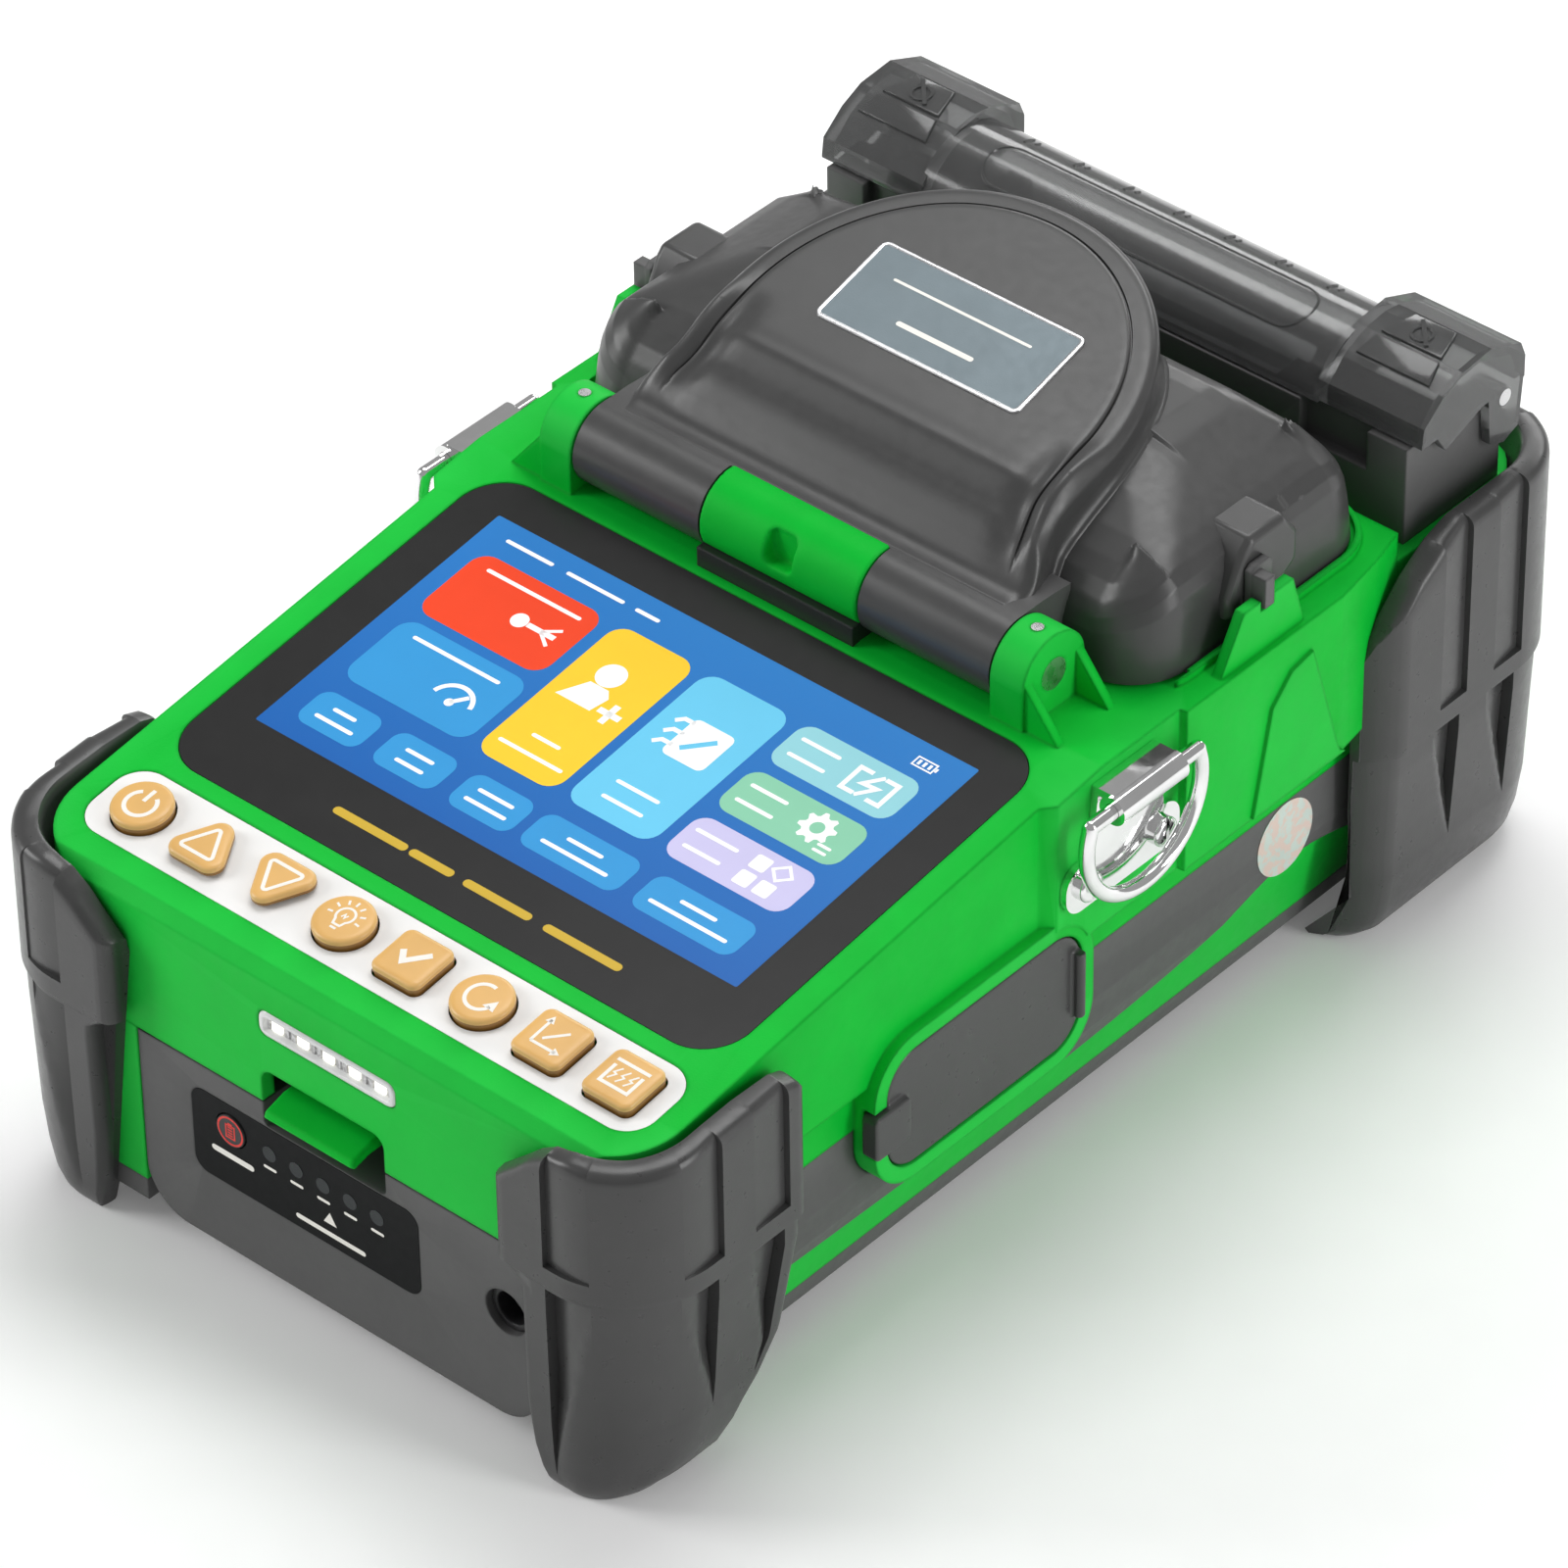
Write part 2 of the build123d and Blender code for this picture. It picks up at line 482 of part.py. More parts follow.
# ---- wind cover ----------------------------------------------------------------------
def d_plan(shrink, z0, z1):
    """D-shaped prism: straight front and sides, round rear."""
    radius = DOME_R - shrink
    block = box(-radius, radius, HINGE_Y, DOME_Y, z0, z1)
    return block + Pos(0, DOME_Y, z0) * extrude(Circle(radius), z1 - z0)


def roof_z(y):
    return ROOF_Z + tan(radians(ROOF_TILT)) * (y - ROOF_Y)


def roof_profile(drop):
    """Centre line of the roof, from the hinge barrel to the rear edge."""
    front = [(HINGE_Y, 90.5), (8.5, 92.6), (11.5, 96.0), (17.0, roof_z(17.0) - 1.0)]
    points = [(y + 0.8 * drop, z - drop) for y, z in front]
    points += [(ROOF_Y, ROOF_Z - drop), (58.0, roof_z(58.0) - drop - 0.6),
               (66.0, roof_z(58.0) - drop)]
    return points + [(66.0, COVER_Z), (HINGE_Y + 0.8 * drop, COVER_Z)]


def wing_body(shrink):
    """The wide lower part of the cover, drawn in towards its top."""
    low = Pos(0, (COVER_Y0 + COVER_Y1) / 2, COVER_Z) * RectangleRounded(
        2 * (COVER_X - shrink), COVER_Y1 - COVER_Y0 - 2 * shrink, 10.5 - shrink)
    mid = Pos(0, 40.2, 91.0 - 0.5 * shrink) * RectangleRounded(
        2 * (COVER_X - 1.4 - shrink), 49.0 - 2 * shrink, 10.5 - shrink)
    top = Pos(0, 45.5, 101.5 - shrink) * RectangleRounded(
        2 * (37.5 - shrink), 24.0 - 2 * shrink, 8.0 - shrink)
    return loft([low, mid]) + loft([mid, top])


def make_wind_cover():
    dome = d_plan(0, COVER_Z, 116) & side_prism(roof_profile(0), -50, 50)
    outer = wing_body(0) + dome
    hollow = wing_body(2.2) + (d_plan(2.2, COVER_Z - 1, 116) & side_prism(roof_profile(2.2), -50, 50)
                               & box(-50, 50, HINGE_Y + 9.6, 62.5, COVER_Z - 1, 116))
    outer -= hollow
    outer -= box(-47, 47, 14.2, 65.8, COVER_Z - 1, COVER_Z + 1)
    outer -= box(-60, 60, -10, HINGE_Y, COVER_Z - 3, 116)
    outer -= box(EAR_IN - 0.4, 50, -10, HINGE_Y + 8.6, COVER_Z - 3, 116)
    outer -= box(-50, -EAR_IN + 0.4, -10, HINGE_Y + 8.6, COVER_Z - 3, 116)
    for side in (-1, 1):
        x0, x1 = sorted((side * (KNUCKLE_X + 0.3), side * (EAR_IN - 0.4)))
        barrel = rod(BARREL_R, (x0, HINGE_Y, HINGE_Z), (x1, HINGE_Y, HINGE_Z))
        barrel += box(x0, x1, HINGE_Y, HINGE_Y + 10.0, HINGE_Z - 3.0, HINGE_Z + BARREL_R)
        outer += barrel
    outer -= box(-KNUCKLE_X - 0.3, KNUCKLE_X + 0.3, -10, HINGE_Y + 2.3, COVER_Z - 3, HINGE_Z + 10)
    outer -= box(-KNUCKLE_X - 0.3, KNUCKLE_X + 0.3, -10, HINGE_Y + 7.6, COVER_Z - 3, HINGE_Z)
    outer -= rod(7.35, (-KNUCKLE_X - 0.3, HINGE_Y, HINGE_Z), (KNUCKLE_X + 0.3, HINGE_Y, HINGE_Z))
    outer -= rod(PIN_R + 0.06, (-60, HINGE_Y, HINGE_Z), (60, HINGE_Y, HINGE_Z))
    for side in (-1, 1):
        x0, x1 = sorted((side * 51.0, side * 58.6))
        outer += side_prism([(31.0, 80.5), (31.0, 86.0), (35.0, 95.0), (44.0, 95.0), (46.5, 90.0),
                             (46.5, 80.5)], x0, x1) - hollow
    outer -= nameplate_block(0.02, 0.6)
    save("wind_cover", outer)
    save("nameplate", nameplate_block(0.0, 0.58) + nameplate_block(-0.4, 0.1, raise_by=0.5))
    clips = []
    for side in (-1, 1):
        x0, x1 = sorted((side * 58.6, side * 59.9))
        clip = side_prism([(33.7, 83.0), (33.7, 90.2), (34.6, 91.0), (37.8, 91.0), (38.6, 90.2),
                           (38.6, 87.0), (36.2, 87.0), (36.2, 84.8)], x0, x1)
        x0, x1 = sorted((side * 59.9, side * 62.4))
        hook = box(x0, x1, 33.9, 36.0, 84.8, 90.0)
        clips.append(clip + hook)
    save("cover_clips", *clips)


def nameplate_block(grow, depth, raise_by=0.0):
    """Plate let into the sloping roof."""
    plane = Plane(origin=(0, 35.9, roof_z(35.9)), x_dir=(1, 0, 0),
                  z_dir=(0, -sin(radians(ROOF_TILT)), cos(radians(ROOF_TILT))))
    face = plane.offset(-depth) * RectangleRounded(39.8 + 2 * grow, 17.4 + 2 * grow, 1.4)
    return extrude(face, depth + raise_by + (1.0 if grow > 0 else 0.0))


def make_cover_fittings():
    pin = rod(PIN_R, (-EAR_OUT, HINGE_Y, HINGE_Z), (EAR_OUT, HINGE_Y, HINGE_Z))
    save("cover_hinge_pin", pin)
    knuckle = rod(7.0, (-KNUCKLE_X, HINGE_Y, HINGE_Z), (KNUCKLE_X, HINGE_Y, HINGE_Z))
    knuckle -= rod(PIN_R, (-50, HINGE_Y, HINGE_Z), (50, HINGE_Y, HINGE_Z))
    knuckle -= box(-50, 50, -10, 20, 70, HINGE_Z - 3.4)
    knuckle -= front_round(-2.8, 2.8, -20, HINGE_Y - 4.4, HINGE_Z - 0.6, HINGE_Z + 5.2, 1.6)
    save("hinge_centre_knuckle", knuckle)
    cradle = box(-KNUCKLE_X, KNUCKLE_X, HINGE_Y - 7.6, HINGE_Y + 6.4, DECK_Z - 0.4, HINGE_Z - 3.4)
    cradle -= rod(PIN_R, (-50, HINGE_Y, HINGE_Z), (50, HINGE_Y, HINGE_Z))
    cradle -= upper_envelope()
    cradle += box(-KNUCKLE_X, KNUCKLE_X, HINGE_Y - 5.0, HINGE_Y + 5.0, DECK_Z - 0.4, DECK_Z + 0.4) & rod(
        BARREL_R + 0.4, (-50, HINGE_Y, HINGE_Z), (50, HINGE_Y, HINGE_Z))
    save("hinge_cradle", cradle)
    screws = []
    for side in (-1, 1):
        x = side * (EAR_IN + EAR_OUT) / 2
        screws.append(rod(0.98, (x, HINGE_Y, HINGE_Z + PIN_R + 0.05), (x, HINGE_Y, HINGE_Z + 7.1)))
    save("hinge_set_screws", *screws)
    mirror_plate = box(-14, 14, 24.0, 52.0, 96.2, 97.4)
    legs = [box(x - 1.5, x + 1.5, 36, 40, 97.4, 102.8) for x in (-10, 10)]
    save("cover_lamp_bar", mirror_plate + legs[0] + legs[1])


# ---- tube heater ---------------------------------------------------------------------
def make_heater():
    base = box(-HEATER_X, HEATER_X, HEATER_Y0, HEATER_Y1, REAR_DECK_Z, HEATER_TOP)
    base -= box(-30.5, 30.5, HEATER_Y0 + 3, HEATER_Y1 - 3, REAR_DECK_Z + 5, HEATER_TOP + 1)
    base -= front_round(-34, 34, HEATER_Y0 - 1, HEATER_Y0 + 1.4, REAR_DECK_Z + 4, HEATER_TOP - 5, 1.5)
    groove = rod(2.4, (-60, 84.0, HEATER_TOP), (60, 84.0, HEATER_TOP))
    base -= groove
    for side in (-1, 1):
        x0, x1 = sorted((side * 35.0, side * 52.0))
        base -= box(x0, x1, HEATER_Y0 + 4, HEATER_Y1 - 4, 80.0, HEATER_TOP + 1)
        x0, x1 = sorted((side * 37.0, side * 50.0))
        base -= box(x0, x1, HEATER_Y0 - 1, HEATER_Y0 + 2.0, 82.0, HEATER_TOP + 1)
    base -= rod(1.4, (-60, LID_PIN_Y, LID_PIN_Z), (60, LID_PIN_Y, LID_PIN_Z))
    base -= box(-52.5, 52.5, LID_PIN_Y - 3.2, 110, LID_PIN_Z - 3.6, 120)
    for side in (-1, 1):
        x0, x1 = sorted((side * 52.0, side * (HEATER_X + 0.1)))
        corner = box(x0, x1, LID_PIN_Y, 110, LID_PIN_Z - 3.6, 120)
        base -= corner - rod(2.6, (-60, LID_PIN_Y, LID_PIN_Z), (60, LID_PIN_Y, LID_PIN_Z))
    save("heater_base", base)
    trough = box(-30.0, 30.0, HEATER_Y0 + 3.4, 90.6, 78.0, 84.6)
    trough -= box(-31, 31, 82.4, 85.6, 80.4, 90.0)
    save("heater_trough", trough)
    holders = []
    for side in (-1, 1):
        x0, x1 = sorted((side * 36.5, side * 50.5))
        block = box(x0, x1, 78.6, 90.4, 80.0, 87.6)
        block -= rod(1.3, (-60, 84.0, 87.6), (60, 84.0, 87.6))
        holders.append(block)
    save("heater_tube_holders", *holders)
    pins = []
    for side in (-1, 1):
        x0, x1 = sorted((side * 52.5, side * LID_X))
        pins.append(rod(1.4, (x0, LID_PIN_Y, LID_PIN_Z), (x1, LID_PIN_Y, LID_PIN_Z)))
    save("heater_hinge_pins", *pins)
    make_heater_lid()


def arch(x0, x1, mid_y, radius, crown, foot):
    """Curved roof between two X positions, open below."""
    plane = Plane(origin=(x0, mid_y, foot), x_dir=(0, 1, 0), z_dir=(1, 0, 0))
    left, top, right = (-radius, 0), (0, crown - foot), (radius, 0)
    face = make_face(ThreePointArc(left, top, right) + Line(right, left))
    return extrude(plane * face, x1 - x0)


def make_heater_lid():
    mid_y = 85.6
    lid = arch(-40.0, 40.0, mid_y, 11.6, 98.4, HEATER_TOP + 0.4)
    lid -= arch(-38.4, 38.4, mid_y, 10.2, 96.9, HEATER_TOP + 0.4)
    for side in (-1, 1):
        x0, x1 = sorted((side * 39.2, side * LID_X))
        outline = [(74.6, 90.0), (75.0, 93.0), (79.5, 96.6), (84.0, 98.6), (91.0, 99.2),
                   (98.4, 96.2), (99.6, 93.4), (99.6, HEATER_TOP + 0.4), (74.6, HEATER_TOP + 0.4)]
        end = side_prism(outline, x0, x1)
        x2, x3 = sorted((side * 40.6, side * (LID_X - 1.6)))
        inner = [(y if y < 90 else y - 1.6, z - 1.6) for y, z in outline[1:7]]
        inner = [(76.4, HEATER_TOP)] + [(max(y, 76.4), z) for y, z in inner] + [(98.0, HEATER_TOP)]
        end -= side_prism(inner, x2, x3)
        x4, x5 = sorted((side * (HEATER_X + 0.4), side * LID_X))
        leg = [(90.6, 92.0), (91.6, 81.0), (95.0, 79.6), (98.6, 81.0), (99.6, 92.0)]
        end += side_prism(leg, x4, x5)
        flap = [(78.0, HEATER_TOP + 1), (80.5, 86.2), (91.0, HEATER_TOP + 1)]
        end += side_prism(flap, x4, x5)
        lid += end
    lid -= rod(1.46, (-70, LID_PIN_Y, LID_PIN_Z), (70, LID_PIN_Y, LID_PIN_Z))
    save("heater_lid", lid)


# ---- side fittings ----------------------------------------------------------------------
RING_SCREWS = [(-7.4, 58.6), (9.6, 58.6)]


def make_ring_set(side, name):
    """D-ring, its strap plate and two screws on one side of the housing."""
    face_x = 61.85
    plate = side_round(face_x, face_x + 1.2, -12.0, 14.0, 54.4, 62.8, 3.6)
    plate += side_prism([(-6.6, 60.0), (10.6, 60.0), (9.0, 74.0), (-5.0, 74.0)], face_x, face_x + 1.2)
    plate += rod(2.4, (RING_X, -5.4, RING_Z), (RING_X, 9.4, RING_Z))
    plate += box(face_x, RING_X, -5.0, 9.0, RING_Z + 1.2, RING_Z + 2.6)
    plate -= rod(1.31, (RING_X, -20, RING_Z), (RING_X, 20, RING_Z))
    for y, z in RING_SCREWS:
        plate -= rod(1.25, (50, y, z), (70, y, z))
    screws = []
    for y, z in RING_SCREWS:
        head = rod(2.5, (face_x + 1.2, y, z), (face_x + 2.6, y, z))
        head = fillet(head.edges().sort_by(Axis.X)[-1], 0.7)
        head -= box(face_x + 2.0, face_x + 4, y - 0.35, y + 0.35, z - 3, z + 3)
        screws.append(head + rod(1.2, (face_x - 6, y, z), (face_x + 1.25, y, z)))
    wire = 1.25
    low = RING_Z - 19.0 + wire
    half = 12.2
    bow = ThreePointArc((RING_X, RING_Y + half, RING_Z), (RING_X, RING_Y, low),
                        (RING_X, RING_Y - half, RING_Z))
    bar = rod(wire, (RING_X, RING_Y - half, RING_Z), (RING_X, RING_Y + half, RING_Z))
    start = Plane(origin=bow @ 0, z_dir=bow % 0)
    ring = sweep(start * Circle(wire), path=bow) + bar
    for y in (RING_Y - half, RING_Y + half):
        ring += Pos(RING_X, y, RING_Z) * Sphere(wire)
    if side < 0:
        plate, ring = mirror_x(plate), mirror_x(ring)
        screws = [mirror_x(screw) for screw in screws]
    save(f"d_ring_{name}", ring)
    return plate, screws


def make_port_set():
    cover = side_round(59.1, 61.5, PORT_Y0 + 2.9, PORT_Y1 - 2.9, PORT_Z0 + 2.9, PORT_Z1 - 2.9, 6.3)
    cover += side_round(59.6, 62.6, -53.8, -46.0, 35.0, 42.8, 0.8)
    cover += rod(0.9, (PORT_HINGE_X, PORT_HINGE_Y, 33.5), (PORT_HINGE_X, PORT_HINGE_Y, 45.5))
    plug = side_round(56.6, 59.2, -44.6, -10.4, 32.4, 46.1, 4.6)
    cover += plug - side_round(50, 58.4, -43.0, -12.0, 34.0, 44.5, 3.4)
    save("port_cover", cover)
    ports = []
    for y in (-35.0, -19.0):
        barrel = rod(4.6, (44.0, y, 39.2), (55.6, y, 39.2)) + rod(6.2, (42.5, y, 39.2), (45.0, y, 39.2))
        ports.append(barrel - rod(1.3, (46.0, y, 39.2), (60.0, y, 39.2)))
    save("optical_ports", *ports)
    sticker = rod(6.6, (STRIP_X, 46.5, 31.5), (STRIP_X + 0.15, 46.5, 31.5))
    save("seal_sticker", sticker)


# ---- inside ------------------------------------------------------------------------------
def make_splice_unit():
    base = round_box(-52.0, 52.0, 11.0, 66.4, 66.0, DECK_Z - 3.0, 4.5)
    base -= round_box(-50.0, 50.0, 13.0, 64.6, 69.0, DECK_Z, 3.0)
    base -= box(-9, 9, 30, 48, 60, 72)
    save("splice_base", base)
    holders, electrodes = [], []
    for direction in (-1, 1):
        y0 = 39.0 + direction * 9.5
        y1 = 39.0 + direction * 19.0
        low, high = sorted((y0, y1))
        block = box(-5.5, 5.5, low, high, 69.0, 81.0)
        tip = (0, 39.0 + direction * 1.0, 78.0)
        tail = (0, 39.0 + direction * 22.0, 78.0)
        holders.append(block - rod(0.75, (0, y0 - 15 * direction, 78), (0, y1 + 9 * direction, 78)))
        needle = rod(0.7, (0, 39.0 + direction * 3.2, 78.0), tail)
        point = Plane(origin=(0, 39.0 + direction * 3.2, 78.0), z_dir=(0, -direction, 0)) * Cone(
            0.7, 0.15, 2.2, align=(Align.CENTER, Align.CENTER, Align.MIN))
        electrodes.append(needle + point)
    save("electrode_holders", *holders)
    save("electrodes", *electrodes)
    grooves = []
    for side, name in ((-1, "left"), (1, "right")):
        x0, x1 = sorted((side * 5.9, side * 12.5))
        groove = box(x0, x1, 34.0, 44.0, 69.0, 77.8)
        groove -= Pos(0, 39.0, 78.1) * Rot(45, 0, 0) * Box(40, 0.7, 0.7)
        grooves.append(groove)
        x0, x1 = sorted((side * 14.5, side * 44.5))
        stage = box(x0, x1, 26.0, 52.0, 69.3, 75.0)
        x2, x3 = sorted((side * 16.0, side * 40.0))
        stage += box(x2, x3, 33.0, 45.0, 75.0, 77.9)
        stage -= Pos(0, 39.0, 78.4) * Rot(45, 0, 0) * Box(120, 1.6, 1.6)
        lug_in, lug_out = sorted((side * 22.0, side * 34.0))
        stage += box(lug_in, lug_out, 47.8, 51.2, 75.0, 80.4) + rod(2.0, (lug_in, 49.5, 80.4), (lug_out, 49.5, 80.4))
        stage += rod(1.0, (x2, 49.5, 80.4), (x3, 49.5, 80.4))
        save(f"feed_stage_{name}", stage)
        clamp = box(x2, x3, 32.0, 46.8, 78.3, 82.4)
        for x4, x5 in ((x2, lug_in - 0.3), (lug_out + 0.3, x3)):
            clamp += rod(2.0, (x4, 49.5, 80.4), (x5, 49.5, 80.4))
            clamp += box(x4, x5, 46.0, 49.5, 80.0, 82.4)
            clamp -= rod(1.06, (x4 - 1, 49.5, 80.4), (x5 + 1, 49.5, 80.4))
        save(f"sheath_clamp_{name}", clamp)
    save("v_groove_blocks", *grooves)


def make_inner_units():
    microscopes = []
    for direction in (-1, 1):
        barrel = rod(3.6, (0, 39.0 + direction * 5.5, 63.0), (0, 39.0 + direction * 13.5, 50.0))
        y0, y1 = sorted((39.0 + direction * 9.0, 39.0 + direction * 24.0))
        microscopes.append(barrel + box(-7, 7, y0, y1, 44.6, 51.0))
    save("microscopes", *microscopes)
    motors = []
    for x in (-40.0, -24.0, 24.0, 40.0):
        motor = rod(6.4, (x, 20.0, 57.5), (x, 46.0, 57.5)) + rod(2.0, (x, 46.0, 57.5), (x, 56.0, 57.5))
        motors.append(motor)
    save("drive_motors", *motors)
    board = box(-50, 50, -92.0, 98.0, 40.2, 41.8)
    for x, y, wide, deep, high in ((-20, -60, 22, 22, 2.2), (18, -62, 14, 14, 1.8), (26, -30, 18, 12, 6.0),
                                   (-28, -25, 12, 16, 5.0), (0, -10, 16, 10, 3.0), (-25, 84, 30, 14, 14.0),
                                   (20, 84, 22, 14, 10.0)):
        board += box(x - wide / 2, x + wide / 2, y - deep / 2, y + deep / 2, 41.8, 41.8 + high)
    board -= box(41, 51, -44, -10, 30, 60)
    save("main_board", board)


def make_fasteners():
    screws = []
    for side in (-1, 1):
        for y in BUMPER_SCREW_Y:
            x = side * BUMPER_SCREW_X
            screws.append(rod(1.55, (x, y, 2.6), (x, y, BASE_Z)))
    save("bumper_screws", *screws)


make_upper_housing()
make_lower_housing()
make_side_panels()
make_base_plate()
make_bumpers()
make_display()
make_keys()
make_light_bar()
make_battery()
make_wind_cover()
make_cover_fittings()
make_heater()
left_plate, left_screws = make_ring_set(-1, "left")
right_plate, right_screws = make_ring_set(1, "right")
save("d_ring_plates", left_plate, right_plate)
save("d_ring_screws", *left_screws, *right_screws)
make_port_set()
make_splice_unit()
make_inner_units()
make_fasteners()
print(len(NODES), "nodes")
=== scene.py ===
import json
from math import atan2, cos, pi, radians, sin

import bmesh
import bpy
import numpy as np
from mathutils import Matrix, Vector


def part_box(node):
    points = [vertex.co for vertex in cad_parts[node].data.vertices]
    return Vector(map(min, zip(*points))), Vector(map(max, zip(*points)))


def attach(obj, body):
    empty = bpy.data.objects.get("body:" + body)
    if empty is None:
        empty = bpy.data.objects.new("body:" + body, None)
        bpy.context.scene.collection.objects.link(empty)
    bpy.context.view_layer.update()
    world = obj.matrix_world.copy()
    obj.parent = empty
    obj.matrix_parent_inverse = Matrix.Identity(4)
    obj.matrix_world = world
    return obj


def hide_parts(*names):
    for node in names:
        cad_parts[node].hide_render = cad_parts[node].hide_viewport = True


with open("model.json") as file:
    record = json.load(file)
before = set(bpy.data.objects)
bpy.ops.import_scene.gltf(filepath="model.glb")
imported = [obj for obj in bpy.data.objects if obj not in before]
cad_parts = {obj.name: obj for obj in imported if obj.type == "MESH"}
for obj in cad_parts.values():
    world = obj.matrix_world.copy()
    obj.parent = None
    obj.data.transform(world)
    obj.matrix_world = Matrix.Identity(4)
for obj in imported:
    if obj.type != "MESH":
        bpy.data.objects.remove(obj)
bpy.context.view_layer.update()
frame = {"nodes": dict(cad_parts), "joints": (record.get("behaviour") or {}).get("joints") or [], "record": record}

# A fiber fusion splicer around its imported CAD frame. Drawing helpers take millimetres; Blender
# gets metres. X is the operator's right, Y the rear, Z up.

NODES = frame["nodes"]
MM = 0.001


def box_mm(node):
    """Low and high corners of a node's box, in millimetres."""
    return tuple(Vector(corner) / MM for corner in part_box(node))


def joint_named(name):
    return next(joint for joint in frame["joints"] if joint["name"] == name)


# ---- materials ---------------------------------------------------------------------------------
PLASTIC_IOR = 1.46
COAT_ROUGH = 0.08
RELIEF_MM = 0.08


def surface(name, color, rough, metal=0.0, grain=0.25, bump=0.12, vary=0.05, rough_vary=0.08,
            edge_highlight=0.0, edge_highlight_color=(0.75, 0.75, 0.75), coat=0.0, clear=0.0, glow=0.0,
            second=None, second_mm=30.0, shine=0.5, soft_mm=0.0):
    """Principled material with grain, drifting colour and roughness, and a painted highlight on its edges.

    vary and rough_vary are the drift's range, the next two arguments the strength and colour of a painted
    highlight on edges, clear the share of light let through, second a colour in patches of second_mm, soft_mm a
    bevel in shading.
    """
    material = bpy.data.materials.new(name)
    material.use_nodes = True
    nodes, links = material.node_tree.nodes, material.node_tree.links
    shader = nodes["Principled BSDF"]
    shader.inputs["Metallic"].default_value = metal
    shader.inputs["Coat Weight"].default_value = coat
    shader.inputs["Coat Roughness"].default_value = COAT_ROUGH
    shader.inputs["Transmission Weight"].default_value = clear
    shader.inputs["IOR"].default_value = PLASTIC_IOR
    shader.inputs["Specular IOR Level"].default_value = shine
    place = nodes.new("ShaderNodeTexCoord")

    def noise(size_mm, detail):
        node = nodes.new("ShaderNodeTexNoise")
        node.inputs["Scale"].default_value = 1.0 / (size_mm * MM)
        node.inputs["Detail"].default_value = detail
        links.new(place.outputs["Object"], node.inputs["Vector"])
        return node.outputs["Fac"]

    def spread(value, low, high, start=0.3, end=0.7):
        node = nodes.new("ShaderNodeMapRange")
        node.inputs["From Min"].default_value = start
        node.inputs["From Max"].default_value = end
        node.inputs["To Min"].default_value = low
        node.inputs["To Max"].default_value = high
        links.new(value, node.inputs["Value"])
        return node.outputs["Result"]

    def mix(factor, first, other):
        node = nodes.new("ShaderNodeMix")
        node.data_type = "RGBA"
        links.new(factor, node.inputs["Factor"])
        for value, socket in ((first, node.inputs["A"]), (other, node.inputs["B"])):
            if isinstance(value, bpy.types.NodeSocket):
                links.new(value, socket)
            else:
                socket.default_value = (*value, 1.0)
        return node.outputs["Result"]

    drift = noise(9.0, 3.0)
    darker = tuple(c * (1.0 - vary) for c in color)
    lighter = tuple(min(1.0, c * (1.0 + vary)) for c in color)
    tint = mix(spread(drift, 0.0, 1.0), darker, lighter)
    if second is not None:
        tint = mix(spread(noise(second_mm, 2.0), 0.0, 1.0, 0.45, 0.55), tint, second)
    # painted highlight: convex edges, found by pointiness, take a lighter colour
    if edge_highlight > 0.0:
        geometry = nodes.new("ShaderNodeNewGeometry")
        edge = spread(geometry.outputs["Pointiness"], 0.0, edge_highlight, 0.52, 0.62)
        tint = mix(edge, tint, edge_highlight_color)
    links.new(tint, shader.inputs["Base Color"])
    if glow > 0.0:
        links.new(tint, shader.inputs["Emission Color"])
        shader.inputs["Emission Strength"].default_value = glow
    smudges = spread(noise(1.7, 4.0), rough - rough_vary / 2, rough + rough_vary / 2)
    links.new(smudges, shader.inputs["Roughness"])
    if bump > 0.0:
        relief = nodes.new("ShaderNodeBump")
        relief.inputs["Strength"].default_value = bump
        relief.inputs["Distance"].default_value = RELIEF_MM * MM
        links.new(noise(grain, 2.0), relief.inputs["Height"])
        links.new(relief.outputs["Normal"], shader.inputs["Normal"])
        if soft_mm > 0.0:
            soft = nodes.new("ShaderNodeBevel")
            soft.samples = 3
            soft.inputs["Radius"].default_value = soft_mm * MM
            links.new(soft.outputs["Normal"], relief.inputs["Normal"])
    return material


GREEN = surface("green_plastic", (0.002, 0.48, 0.034), 0.46, grain=0.35, bump=0.22,
                edge_highlight=0.25, edge_highlight_color=(0.05, 0.72, 0.12), shine=0.1, soft_mm=0.9)
GREY = surface("grey_plastic", (0.075, 0.075, 0.075), 0.42, grain=0.30, bump=0.16,
               edge_highlight=0.3, edge_highlight_color=(0.16, 0.16, 0.16), shine=0.4, soft_mm=0.7)
COVER = surface("cover_grey", (0.052, 0.052, 0.052), 0.33, grain=0.30, bump=0.08,
                edge_highlight=0.3, edge_highlight_color=(0.16, 0.16, 0.16))
RUBBER = surface("bumper_grey", (0.050, 0.050, 0.050), 0.31, grain=0.35, bump=0.16,
                 edge_highlight=0.35, edge_highlight_color=(0.15, 0.15, 0.15))
BLACK = surface("black_plastic", (0.014, 0.014, 0.015), 0.36, grain=0.3, bump=0.15,
                edge_highlight=0.2, edge_highlight_color=(0.07, 0.07, 0.07), soft_mm=0.5)
GLASS_BLACK = surface("screen_black", (0.026, 0.026, 0.026), 0.22, bump=0.0, rough_vary=0.05, shine=0.12)
WHITE = surface("white_panel", (0.86, 0.86, 0.85), 0.4, grain=0.2, bump=0.05, vary=0.02, shine=0.3)
CHROME = surface("chrome", (0.86, 0.86, 0.86), 0.09, metal=1.0, grain=0.5, bump=0.03)
STEEL = surface("steel", (0.62, 0.62, 0.63), 0.28, metal=1.0, grain=0.2, edge_highlight=0.3)
